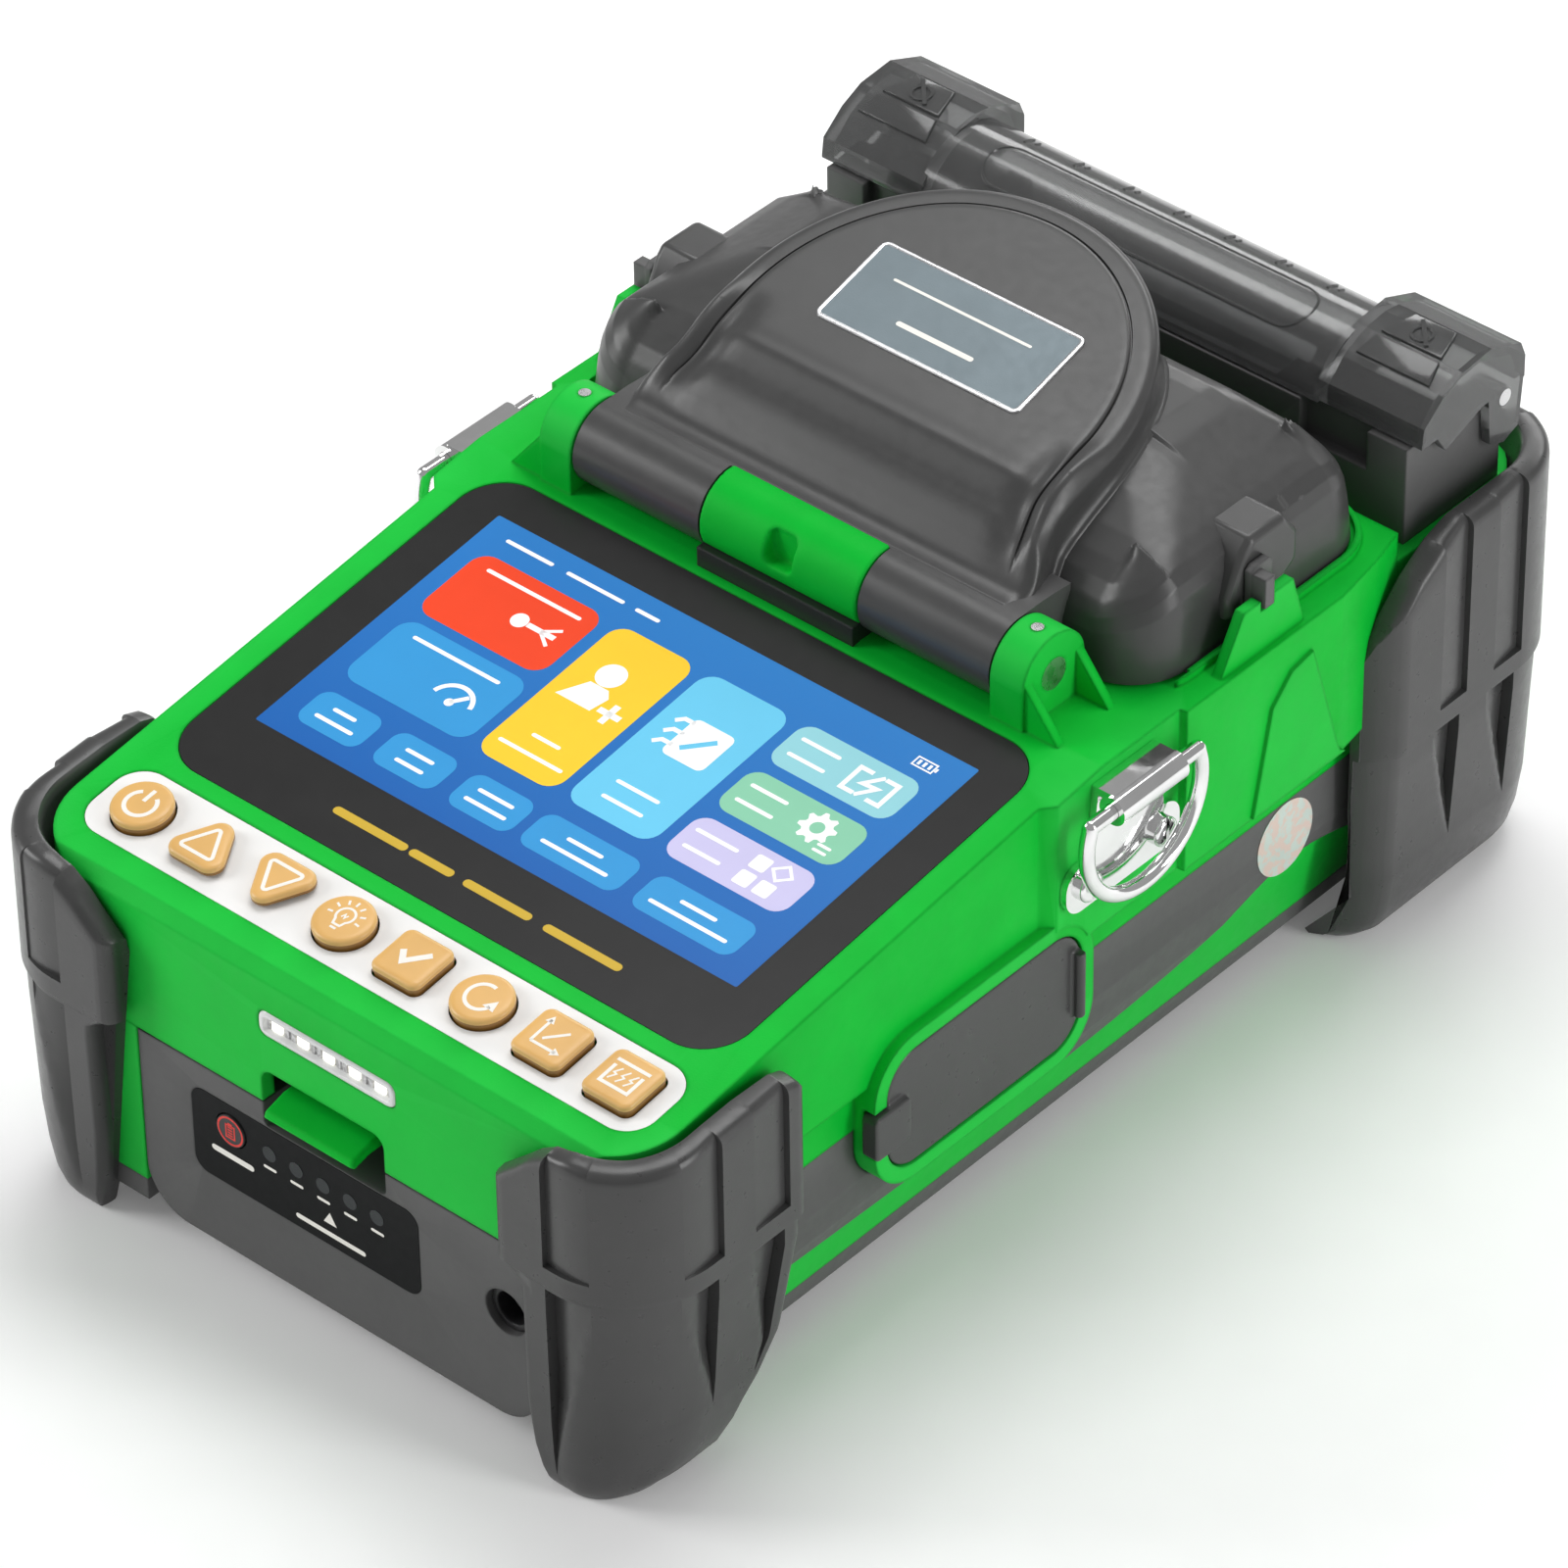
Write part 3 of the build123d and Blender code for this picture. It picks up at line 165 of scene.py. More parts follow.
ALUMINIUM = surface("aluminium", (0.70, 0.71, 0.72), 0.36, metal=1.0, grain=0.2)
BOARD = surface("board", (0.02, 0.14, 0.06), 0.4, grain=0.8, bump=0.2)
SMOKED = surface("smoked_clear", (0.21, 0.213, 0.213), 0.12, bump=0.0, rough_vary=0.06, clear=0.74)
CLEAR = surface("clear_plastic", (0.92, 0.93, 0.92), 0.18, grain=0.9, bump=0.2, clear=0.8)
CERAMIC = surface("ceramic", (0.80, 0.77, 0.70), 0.25, grain=0.3, bump=0.05)
WRAP = surface("cell_wrap", (0.05, 0.13, 0.36), 0.3, grain=0.5, bump=0.05)
STICKER = surface("sticker", (0.62, 0.72, 0.66), 0.22, metal=0.6, grain=0.5, bump=0.1,
                  second=(0.78, 0.62, 0.55), second_mm=1.6)
NAMEPLATE = surface("nameplate_paint", (0.14, 0.18, 0.20), 0.38, metal=0.3, bump=0.15)
LABEL_BLACK = surface("label_black", (0.004, 0.0045, 0.005), 0.42, grain=0.4, bump=0.04, shine=0.12)
KEY_GOLD = surface("key_gold", (0.74, 0.43, 0.13), 0.33, grain=0.3, bump=0.08,
                   edge_highlight=0.5, edge_highlight_color=(0.95, 0.72, 0.42))
ICON_WHITE = surface("icon_white", (0.88, 0.86, 0.80), 0.4, grain=0.2, bump=0.05, vary=0.02)

FINISH = {
    "green_plastic": GREEN, "grey_plastic": GREY, "bumper_rubber": RUBBER, "black_plastic": BLACK,
    "screen_glass": GLASS_BLACK, "lcd": BLACK, "white_plastic": WHITE, "key_plastic": KEY_GOLD,
    "board": BOARD, "label": LABEL_BLACK, "nameplate": NAMEPLATE, "steel": STEEL, "chrome": CHROME,
    "aluminium": ALUMINIUM, "smoked_clear": SMOKED, "clear_plastic": CLEAR, "ceramic": CERAMIC,
    "cell_wrap": WRAP, "sticker": STICKER}
for part in frame["record"]["subparts"]:
    node = NODES[part["node"]]
    for slot in node.material_slots:
        slot.material = BLACK if part["node"] == "dc_inlet" else FINISH[part["material_slot"]]


# ---- camera, floor and light --------------------------------------------------------------------
CAMERA_AT = Vector((698.5, -781.9, 878.5))
CAMERA_RIGHT, CAMERA_DOWN = Vector((0.7461, 0.6659, 0.0)), Vector((0.4152, -0.4652, -0.7818))
CAMERA_ROLL = radians(-0.79)
FLOOR_HALF_M = 6.0
LAMP_TARGET = (0.0, 0.0, 0.05)
# name, place, size, power
LAMPS = [("top_soft", (-0.2, 0.35, 1.1), (0.8, 0.5), 6.6), ("front_left", (-1.0, -0.7, 0.6), (0.5, 0.7), 8.0),
         ("right_side", (1.2, 0.2, 0.45), (0.3, 0.9), 6.6), ("rear_rim", (-0.4, 1.2, 0.7), (1.0, 0.3), 5.5)]


def add_camera():
    """A long lens at the photograph's angle."""
    data = bpy.data.cameras.new("camera")
    data.sensor_width = 36.0
    data.lens = 203.6
    data.shift_x = -0.010
    data.shift_y = -0.0069
    data.clip_end = 20.0
    camera = bpy.data.objects.new("camera", data)
    right, down = CAMERA_RIGHT.normalized(), CAMERA_DOWN.normalized()
    turned = right * cos(CAMERA_ROLL) - down * sin(CAMERA_ROLL)
    fall = right * sin(CAMERA_ROLL) + down * cos(CAMERA_ROLL)
    axes = Matrix((turned, -fall, turned.cross(-fall))).transposed().to_4x4()
    camera.matrix_world = Matrix.Translation(CAMERA_AT * MM) @ axes
    bpy.context.scene.collection.objects.link(camera)
    bpy.context.scene.camera = camera


def add_lamp(name, place, size, power):
    data = bpy.data.lights.new(name, "AREA")
    data.shape = "RECTANGLE"
    data.size, data.size_y = size
    data.energy = power
    lamp = bpy.data.objects.new(name, data)
    lamp.location = place
    lamp.rotation_euler = (Vector(LAMP_TARGET) - Vector(place)).to_track_quat("-Z", "Y").to_euler()
    bpy.context.scene.collection.objects.link(lamp)


def add_studio():
    """Pale floor, even sky and four soft lamps."""
    half = FLOOR_HALF_M
    mesh = bpy.data.meshes.new("floor")
    corners = [(-half, -half, 0), (half, -half, 0), (half, half, 0), (-half, half, 0)]
    mesh.from_pydata(corners, [], [(0, 1, 2, 3)])
    mesh.materials.append(surface("floor", (0.93, 0.93, 0.93), 0.7, grain=2.0, bump=0.02, vary=0.01,
                                  glow=0.10, shine=0.1))
    floor = bpy.data.objects.new("floor", mesh)
    bpy.context.scene.collection.objects.link(floor)
    world = bpy.data.worlds.new("studio")
    world.use_nodes = True
    sky = world.node_tree.nodes["Background"]
    sky.inputs["Color"].default_value = (1.0, 1.0, 1.0, 1.0)
    sky.inputs["Strength"].default_value = 0.34
    bpy.context.scene.world = world
    bpy.context.scene.view_settings.view_transform = "Standard"
    for lamp in LAMPS:
        add_lamp(*lamp)


add_camera()
add_studio()


# ---- softened CAD solids -------------------------------------------------------------------------
def soften(node, voxel, passes):
    """Round a moulded part's edges with modifiers; its mesh stays as it is."""
    piece = NODES[node]
    remesh = piece.modifiers.new("mould", "REMESH")
    remesh.mode = "VOXEL"
    remesh.voxel_size = voxel * MM
    remesh.use_smooth_shade = True
    smooth = piece.modifiers.new("ease", "SMOOTH")
    smooth.factor = 0.5
    smooth.iterations = passes


COARSE = 1.0
soften("battery_latch", 0.25 * COARSE, 5)
soften("port_cover", 0.26 * COARSE, 3)
soften("hinge_centre_knuckle", 0.26 * COARSE, 3)


# ---- drawing helpers (millimetres) ----------------------------------------------------------------
def grid_on(origin, across, normal):
    """Matrix from a drawing plane (u, v, height) in millimetres to the scene."""
    across, normal = Vector(across).normalized(), Vector(normal).normalized()
    up = normal.cross(across)
    turn = Matrix((across, up, normal)).transposed().to_4x4()
    return Matrix.Scale(MM, 4) @ Matrix.Translation(origin) @ turn


def front_plane(y):
    """Drawing plane that faces the operator: u to the right, v up."""
    return grid_on((0, y, 0), (1, 0, 0), (0, -1, 0))


def arc(cx, cy, r, start, end, steps=8):
    angles = [radians(start + (end - start) * i / steps) for i in range(steps + 1)]
    return [(cx + r * cos(a), cy + r * sin(a)) for a in angles]


def ring(cx, cy, r, steps=40):
    return arc(cx, cy, r, 0, 360, steps)[:-1]


def rounded(x0, x1, y0, y1, r, steps=6):
    return (arc(x1 - r, y1 - r, r, 0, 90, steps) + arc(x0 + r, y1 - r, r, 90, 180, steps)
            + arc(x0 + r, y0 + r, r, 180, 270, steps) + arc(x1 - r, y0 + r, r, 270, 360, steps))


def inset(outline, amount):
    """Move every corner of a closed outline inwards."""
    count, moved = len(outline), []
    for i in range(count):
        before, here, after = (Vector(outline[(i + k) % count]) for k in (-1, 0, 1))
        first, second = (here - before).normalized(), (after - here).normalized()
        bend = first + second
        if bend.length < 1e-6:
            bend = first
        bend.normalize()
        inward = Vector((-bend.y, bend.x))
        reach = amount / max(0.35, bend.dot(first))
        moved.append(tuple(here + inward * reach))
    return moved


def stacked(place, outline, levels):
    """Loops of an outline, one for each (inset, height)."""
    return [[place @ Vector((u, v, h)) for u, v in inset(outline, step)] for step, h in levels]


def slices(outline, xs):
    """Loops of a side outline of (y, z) points, one for each x."""
    return [[Vector((x, y, z)) * MM for y, z in outline] for x in xs]


def skin(bm, loops, closed=True, cap_first=False, cap_last=False, index=0):
    """Quads between equal point loops, with optional end faces."""
    rows = [[bm.verts.new(p) for p in loop] for loop in loops]
    count = len(rows[0])
    faces = []
    for low, high in zip(rows, rows[1:]):
        for i in range(count if closed else count - 1):
            j = (i + 1) % count
            faces.append(bm.faces.new((low[i], low[j], high[j], high[i])))
    if cap_first:
        faces.append(bm.faces.new(list(reversed(rows[0]))))
    if cap_last:
        faces.append(bm.faces.new(rows[-1]))
    for face in faces:
        face.material_index = index
        face.smooth = True
    return rows


EDGE_STEPS = 3


def plate(bm, place, outline, low, high, edge=0.0, index=0):
    """A flat raised shape, its upper edge rounded by edge."""
    levels = [(0.0, low)]
    if edge > 0.0:
        for i in range(EDGE_STEPS + 1):
            a = pi / 2 * i / EDGE_STEPS
            levels.append((edge * (1 - cos(a)), high - edge * (1 - sin(a))))
    else:
        levels.append((0.0, high))
    skin(bm, stacked(place, outline, levels), cap_first=True, cap_last=True, index=index)


def stroke(bm, place, points, width, low, high, closed=False, index=0):
    """A drawn line of even width."""
    count, left, right = len(points), [], []
    for i in range(count):
        here = Vector(points[i])
        before = Vector(points[i - 1]) if (closed or i > 0) else here
        after = Vector(points[(i + 1) % count]) if (closed or i < count - 1) else here
        first = (here - before).normalized() if (here - before).length > 1e-6 else (after - here).normalized()
        second = (after - here).normalized() if (after - here).length > 1e-6 else first
        bend = (first + second).normalized()
        side = Vector((-bend.y, bend.x)) * (width / 2 / max(0.35, bend.dot(first)))
        left.append(here + side)
        right.append(here - side)
    loops = []
    for a, b in zip(left, right):
        loops.append([place @ Vector((a.x, a.y, low)), place @ Vector((b.x, b.y, low)),
                      place @ Vector((b.x, b.y, high)), place @ Vector((a.x, a.y, high))])
    if closed:
        loops.append(loops[0])
        skin(bm, loops, index=index)
        bmesh.ops.remove_doubles(bm, verts=bm.verts, dist=1e-7)
    else:
        skin(bm, loops, cap_first=True, cap_last=True, index=index)


def piece_from(name, bm, materials, body, replaces=(), crease=35.0, bevel=0.0):
    """Turn a bmesh into a named piece that rides a body."""
    bmesh.ops.recalc_face_normals(bm, faces=bm.faces)
    mesh = bpy.data.meshes.new(name)
    bm.to_mesh(mesh)
    bm.free()
    piece = bpy.data.objects.new(name, mesh)
    bpy.context.scene.collection.objects.link(piece)
    for material in materials if isinstance(materials, list) else [materials]:
        mesh.materials.append(material)
    if bevel > 0.0:
        rounding = piece.modifiers.new("edge", "BEVEL")
        rounding.width = bevel * MM
        rounding.segments = 3
        rounding.limit_method = "ANGLE"
        rounding.angle_limit = radians(30)
    for polygon in mesh.polygons:
        polygon.use_smooth = True
    mesh.set_sharp_from_angle(angle=radians(crease))
    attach(piece, body)
    if replaces:
        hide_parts(*replaces)
    return piece


# ---- wind cover -----------------------------------------------------------------------------------
HINGE = Vector(joint_named("wind_cover_hinge")["pos_m"]) / MM
BARREL_R = 6.9
COVER_WALL, DOME_WALL = 2.0, 1.6
RIM_X, RIM_BACK, RIM_FRONT, RIM_R = 57.0, 68.0, 12.0, 10.5
RIM_Z = 77.6
DOME_R, DOME_Y = 36.4, 27.7
# heights of the wings by distance in from the rim, and of the dome's roof by y
WING_SIDE = [(0, 77.6), (0.3, 82.0), (0.7, 86.6), (1.2, 89.6), (2.0, 91.8), (3.4, 93.4), (6.0, 94.8),
             (10.0, 96.6), (14.0, 98.3), (18.0, 100.0), (22.0, 101.4), (60.0, 102.0)]
WING_FRONT = [(0, 77.6), (0.5, 81.0), (1.2, 84.6), (2.0, 87.0), (3.2, 89.2), (5.2, 91.4), (8.0, 93.2),
              (12.0, 95.2), (18.0, 97.8), (26.0, 100.4), (34.0, 101.6), (60.0, 102.2)]
WING_BACK = [(0, 77.6), (0.4, 81.0), (1.2, 85.4), (2.4, 88.6), (4.4, 92.0), (7.0, 95.6), (9.6, 98.6),
             (11.4, 100.4), (13.4, 101.6), (16.0, 102.0), (60.0, 102.0)]
ROOF = [(-5, 90.5), (3.2, 90.5), (6.5, 90.6), (8.2, 91.4), (9.6, 93.0), (11.0, 94.6), (12.6, 95.6),
        (14.4, 96.6), (16.2, 98.2), (18.4, 99.9), (21.0, 101.1), (24.0, 102.0), (27.5, 103.0),
        (58.0, 111.0), (62.0, 111.9), (66.0, 112.2)]


def profile(table, value):
    return np.interp(value, [p[0] for p in table], [p[1] for p in table])


def wing_height(x, y):
    """Height of the wide lower body over the plan."""
    x, middle = np.abs(x), (RIM_FRONT + RIM_BACK) / 2
    half_y = (RIM_BACK - RIM_FRONT) / 2
    qx, qy = x - (RIM_X - RIM_R), np.abs(y - middle) - (half_y - RIM_R)

    def end_profile(distance):
        return np.where(y < middle, profile(WING_FRONT, distance), profile(WING_BACK, distance))

    side = profile(WING_SIDE, RIM_X - x)
    end = end_profile(half_y - np.abs(y - middle))
    gap = np.maximum(2.5 - np.abs(side - end), 0.0) / 2.5
    straight = np.minimum(side, end) - gap ** 2 * 0.6
    d = RIM_R - np.hypot(np.maximum(qx, 0), np.maximum(qy, 0))
    share = np.arctan2(np.maximum(qy, 1e-6), np.maximum(qx, 1e-6)) / (pi / 2)
    corner = (1 - share) * profile(WING_SIDE, d) + share * end_profile(d)
    return np.where((qx > 0) & (qy > 0), corner, straight)


def ease(value):
    value = np.clip(value, 0.0, 1.0)
    return value * value * (3 - 2 * value)


def roof_height(y):
    """The dome's slope from front to rear, its bends softened."""
    return sum(profile(ROOF, y + shift) for shift in (-1.2, -0.6, 0.0, 0.6, 1.2)) / 5.0


def shell_height(x, y):
    walled = np.minimum(np.minimum(RIM_X - np.abs(x), y - RIM_FRONT), RIM_BACK - y)
    return np.where(walled < 0.01, RIM_Z, wing_height(x, y))


def thicken(piece, wall):
    """Give a skin its wall, inwards."""
    thick = piece.modifiers.new("wall", "SOLIDIFY")
    thick.thickness = wall * MM
    thick.offset = -1.0


def make_cover_shell():
    """The cover's skin: rings of points from the rim to the middle, raised to its height."""
    around = 640
    rings = 150
    corner_steps = around // 10
    straight_x = np.linspace(-(RIM_X - RIM_R), RIM_X - RIM_R, around // 4)
    straight_y = np.linspace(RIM_FRONT + RIM_R, RIM_BACK - RIM_R, around // 8)
    outline = [(x, RIM_FRONT) for x in straight_x]
    outline += arc(RIM_X - RIM_R, RIM_FRONT + RIM_R, RIM_R, 270, 360, corner_steps)[1:-1]
    outline += [(RIM_X, y) for y in straight_y]
    outline += arc(RIM_X - RIM_R, RIM_BACK - RIM_R, RIM_R, 0, 90, corner_steps)[1:-1]
    outline += [(-x, RIM_BACK) for x in straight_x]
    outline += arc(-RIM_X + RIM_R, RIM_BACK - RIM_R, RIM_R, 90, 180, corner_steps)[1:-1]
    outline += [(-RIM_X, y) for y in reversed(straight_y)]
    outline += arc(-RIM_X + RIM_R, RIM_FRONT + RIM_R, RIM_R, 180, 270, corner_steps)[1:-1]
    edge = np.array(outline)
    middle = np.array((0.0, (RIM_FRONT + RIM_BACK) / 2))
    near = 1.0 - 0.06 * (np.linspace(0, 1, rings // 3) ** 1.6)
    far = np.linspace(near[-1], 0.01, rings - rings // 3 + 1)[1:]
    loops = []
    for scale in list(near) + list(far):
        spots = middle + (edge - middle) * scale
        heights = shell_height(spots[:, 0], spots[:, 1]) if scale < 1.0 else np.full(len(spots), RIM_Z)
        loops.append([Vector((x, y, z)) * MM for (x, y), z in zip(spots, heights)])
    bm = bmesh.new()
    skin(bm, loops, cap_last=True)
    cover = piece_from("cover_shell", bm, COVER, "wind_cover", ("wind_cover",), crease=180)
    thicken(cover, COVER_WALL)


def dome_line(d):
    """The D-shaped outline moved inwards by d, from the front left round to the front right."""
    r = DOME_R - d
    ys = np.linspace(4.0, DOME_Y, 50)[:-1]
    flare = 3.0 * ease((18.5 - ys) / 12.0) * r / DOME_R
    left = [(-r - out, y) for y, out in zip(ys, flare)]
    right = [(-x, y) for x, y in reversed(left)]
    bow = [(r * cos(a), DOME_Y + r * sin(a)) for a in np.linspace(pi, 0.0, 130)]
    return np.array(left + bow + right)


def make_cover_dome():
    """The raised D with its rolled edge, scored line and front rails."""
    loops = []

    def add(d, heights):
        loops.append([Vector((x, y, z)) * MM for (x, y), z in zip(dome_line(d), heights)])

    def top(d):
        y = dome_line(d)[:, 1]
        fade = ease((y - 9.0) / 4.0)
        rail = 1.3 * np.exp(-((d - 2.2) / 1.5) ** 2) * fade * (1 - ease((y - 22.0) / 10.0))
        gully = -0.8 * np.exp(-((d - 6.4) / 2.0) ** 2) * fade * (1 - ease((y - 21.0) / 7.0))
        waves = sum(0.28 * np.exp(-((y - at) / 1.2) ** 2) for at in (9.2, 13.6, 18.8)) * ease((d - 5.0) / 5.0)
        return roof_height(y) + rail + gully + waves, fade

    foot_line = dome_line(-1.5)
    foot = np.where(foot_line[:, 1] < RIM_FRONT + 0.5, 84.0, wing_height(foot_line[:, 0], foot_line[:, 1]))
    edge = 2.2
    crown = top(0.0)[0] - edge
    crown = np.maximum(crown, foot + 0.3)
    for d, share in ((-1.5, 0.0), (-1.0, 0.03), (-0.55, 0.12), (-0.25, 0.3), (-0.08, 0.65), (0.0, 1.0)):
        add(d, foot + (crown - foot) * share)
    for k in range(1, 8):
        a = pi / 2 * k / 7
        d = edge * (1 - cos(a))
        add(d, top(d)[0] - edge * (1 - sin(a)))
    steps = [(2.9, 0.0), (3.6, 0.0), (4.05, 0.0), (4.15, -0.45), (4.4, -0.45), (4.5, 0.15), (4.75, 0.38),
             (5.2, 0.45)]
    steps += [(d, 0.45) for d in (5.8, 6.4, 7.2, 8.0, 9.0, 10.0, 11.5, 13.0)]
    steps += [(d, 0.45) for d in np.linspace(15.0, DOME_R, 12)]
    for d, lift in steps:
        heights, fade = top(d)
        add(d, heights + lift * fade)
    bm = bmesh.new()
    skin(bm, loops, closed=False)
    bmesh.ops.remove_doubles(bm, verts=bm.verts, dist=2e-6)
    dome = piece_from("cover_dome", bm, COVER, "wind_cover", crease=40)
    thicken(dome, DOME_WALL)


def make_cover_barrels():
    """Hinge barrels with the apron that joins them to the cover."""
    top = HINGE.z + BARREL_R
    bm = bmesh.new()
    barrel = arc(HINGE.y, HINGE.z, BARREL_R, 90, 330, 28)
    barrel += [(12.0, 79.6), (15.0, 79.6), (15.0, top - 0.4), (9.0, top), (6.0, top)]
    for xs in ((-41.0, -15.75), (15.75, 41.0)):
        skin(bm, slices(barrel, xs), cap_first=True, cap_last=True)
    apron = arc(HINGE.y, HINGE.z, BARREL_R + 0.5, 68, 10, 10)
    apron += [(13.0, 84.0), (14.0, 86.0), (14.0, top - 0.1), (9.0, top), (5.0, top)]
    skin(bm, slices(apron[::-1], (-15.9, 15.9)), cap_first=True, cap_last=True)
    piece_from("cover_barrels", bm, COVER, "wind_cover", crease=30, bevel=0.35)


def make_cover_sides():
    """Raised housings that carry the side clips."""
    outline = [(42.0, 82.0), (46.8, 85.0), (46.8, 90.4), (43.4, 94.8), (35.6, 94.8), (34.0, 93.0),
               (30.6, 86.0), (30.6, 82.0)]
    bm = bmesh.new()
    for side in (-1, 1):
        loops = []
        for x, shrink in ((50.0, 0.0), (57.6, 0.0), (58.4, 0.8)):
            loops += slices(inset(outline, shrink), (side * x,))
        skin(bm, loops, cap_first=True, cap_last=True)
    piece_from("cover_clip_housings", bm, COVER, "wind_cover", crease=30, bevel=0.5)


make_cover_shell()
make_cover_dome()
make_cover_barrels()
make_cover_sides()


# ---- corner bumpers -----------------------------------------------------------------------------------
BUMPER_X, BUMPER_Y, BUMPER_R, BUMPER_START = 66.0, 109.0, 16.0, 38.0
BUMPER_STRAIGHT, BUMPER_BEND = 12.0, BUMPER_R * pi / 2
START_ROUND = 2.6
BELT_TOP = 44.25
# how far the wall leans in, by level
TAPER = [(0.0, 10.5), (1.2, 7.6), (3.4, 5.2), (7.5, 3.6), (14.0, 2.4), (36.0, 1.2), (39.6, 1.2),
         (40.3, 1.2), (40.7, 0.0)]
# height of the rim, by distance along the wall
FRONT_RIM = [(0.0, 55.5), (4.3, 59.4), (7.0, 62.0), (10.0, 64.0), (14.0, 64.8), (25.0, 65.0),
             (39.6, 66.2), (46.0, 66.6), (53.7, 66.4), (56.6, 65.4), (58.1, 62.8)]
REAR_RIM = [(0.0, 57.0), (4.0, 62.0), (8.0, 68.5), (11.0, 74.0), (14.0, 76.4), (18.0, 76.9),
            (52.0, 76.9), (57.3, 75.2), (63.1, 71.5), (68.1, 66.5), (70.1, 63.0), (71.3, 58.0)]
# where the wall starts, by level
START = [(0.0, 7.5), (8.0, 5.4), (16.0, 4.6), (38.4, 4.6), (40.7, 0.0), (90.0, 0.0)]
# how far its side end steps back towards the foot, by level
FRONT_TRIM = [(0, 16.0), (9, 12.0), (20, 3.5), (36, 0.0)]
REAR_TRIM = [(0, 2.5), (20, 0.6), (36, 0.0)]
# recesses: shallow start, deep end (both along the wall)
FRONT_PANELS = [(18.0, 10.0), (32.0, 39.6), (46.4, 53.7)]
REAR_PANELS = [(18.0, 10.0), (43.6, 36.8), (56.8, 50.4)]


def wall_point(s):
    """Point and outward direction at distance s along a bumper, for the corner at +X, +Y."""
    if s < BUMPER_STRAIGHT:
        return Vector((BUMPER_START + s, BUMPER_Y)), Vector((0, 1))
    if s < BUMPER_STRAIGHT + BUMPER_BEND:
        a = pi / 2 - (s - BUMPER_STRAIGHT) / BUMPER_R
        out = Vector((cos(a), sin(a)))
        return Vector((BUMPER_X - BUMPER_R, BUMPER_Y - BUMPER_R)) + out * BUMPER_R, out
    return Vector((BUMPER_X, BUMPER_Y - BUMPER_R - (s - BUMPER_STRAIGHT - BUMPER_BEND))), Vector((1, 0))


def round_off(s, length, first, last):
    """Extra depth that rounds a bumper's two ends."""
    depth = 0.0
    for gap, r in ((s, first), (length - s, last)):
        if gap < r:
            depth = max(depth, r - np.sqrt(max(0.0, r * r - (r - gap) ** 2)))
    return min(depth, 4.2)


def recess(s, z, panels):
    """Depth of the wedge-shaped recesses above and below the belt."""
    depth = 0.0
    for start, deep in panels:
        share = (s - start) / (deep - start)
        if 44.2 <= z:
            if 0.0 < share < 1.0:
                depth = max(depth, 0.3 + 0.7 * share)
        elif z < 39.8:
            point = 3.0 if start < 20 and deep < start else 15.0
            lean = min(1.0, max(0.0, (z - point) / (38.0 - point)))
            if lean > 0.0:
                near = 1.0 - lean
                local = (share - near) / max(1e-6, 1.0 - near)
                if share < 1.0 and local > 0.0:
                    depth = max(depth, (0.25 + 1.75 * local) * min(1.0, lean * 2.2))
    return depth


def make_bumper(name, side, end, side_length, rim_table, panels, trim, last_round):
    """A bumper's skin: upright sections along the wall, each from the foot over the rim and back."""
    length = BUMPER_STRAIGHT + BUMPER_BEND + side_length
    stops = set(np.round(np.arange(0.0, length, 1.0), 3)) | {round(length, 3)}
    for start, deep in panels:
        step = 0.05 if deep > start else -0.05
        stops |= {round(spot + shift, 3) for spot in (start, deep) for shift in (-step, step)}
    for k in (0.03, 0.12, 0.26, 0.45, 0.7, 1.0):
        stops |= {round(START_ROUND * k, 3), round(length - last_round * k, 3)}
    lower = [0.0, 0.5, 1.2, 2.2, 3.4, 5.2, 7.5, 10.5]
    lower += list(np.linspace(14.0, 36.0, 20)) + [38.0, 39.6]
    belt = [39.8, 40.3, 40.7, 41.5, 43.4, 44.1, BELT_TOP]
    over_rim = [(0.12, -1.2), (0.45, -0.6), (1.0, -0.2), (1.8, 0.0), (3.4, 0.2), (4.1, 0.0), (4.5, -0.6),
                (4.6, -1.8)]
    loops = []
    for s in sorted(stops):
        rim = profile(rim_table, s)
        upper = [BELT_TOP + (rim - 2.0 - BELT_TOP) * k / 8 for k in range(1, 9)]
        section = [(profile(TAPER, z), recess(s, z, panels), z) for z in lower + belt + upper]
        cut = recess(s, rim, panels)
        for shift, drop in over_rim:
            section.append((0.0, cut * max(0.0, 1.0 - shift / 3.0) + shift, rim + drop))
        section += [(0.0, 6.0, rim - 6.0), (0.0, 6.2, 30.0), (0.0, 6.2, 12.0), (11.2, 2.0, 0.6)]
        ends = round_off(s, length, START_ROUND, last_round)
        loop = []
        for taper, cut, z in section:
            back = float(profile(trim, z))
            hold = min(length - 20.0, length - back - 8.0)
            along = s if s < hold else hold + (s - hold) * (length - back - hold) / (length - hold)
            if s < 10.0:
                ahead = profile(START, z)
                along = ahead + s * (10.0 - ahead) / 10.0
            point, out = wall_point(along)
            spot = point - out * (taper * (0.25 + 0.75 * out.x ** 2) + max(cut, ends))
            loop.append(Vector((side * spot.x, end * spot.y, z)) * MM)
        loops.append(loop)
    bm = bmesh.new()
    skin(bm, loops, cap_first=True, cap_last=True)
    piece_from(name + "_skin", bm, RUBBER, "housing", (name,), crease=32)


for side, word in ((1, "right"), (-1, "left")):
    make_bumper("bumper_front_" + word, side, -1, 21.0, FRONT_RIM, FRONT_PANELS, FRONT_TRIM, 2.6)
    make_bumper("bumper_rear_" + word, side, 1, 34.2, REAR_RIM, REAR_PANELS, REAR_TRIM, 6.5)


# ---- heater lid relief -----------------------------------------------------------------------------------
LID_Y, LID_Z, LID_R = 85.6, 86.42, 11.98


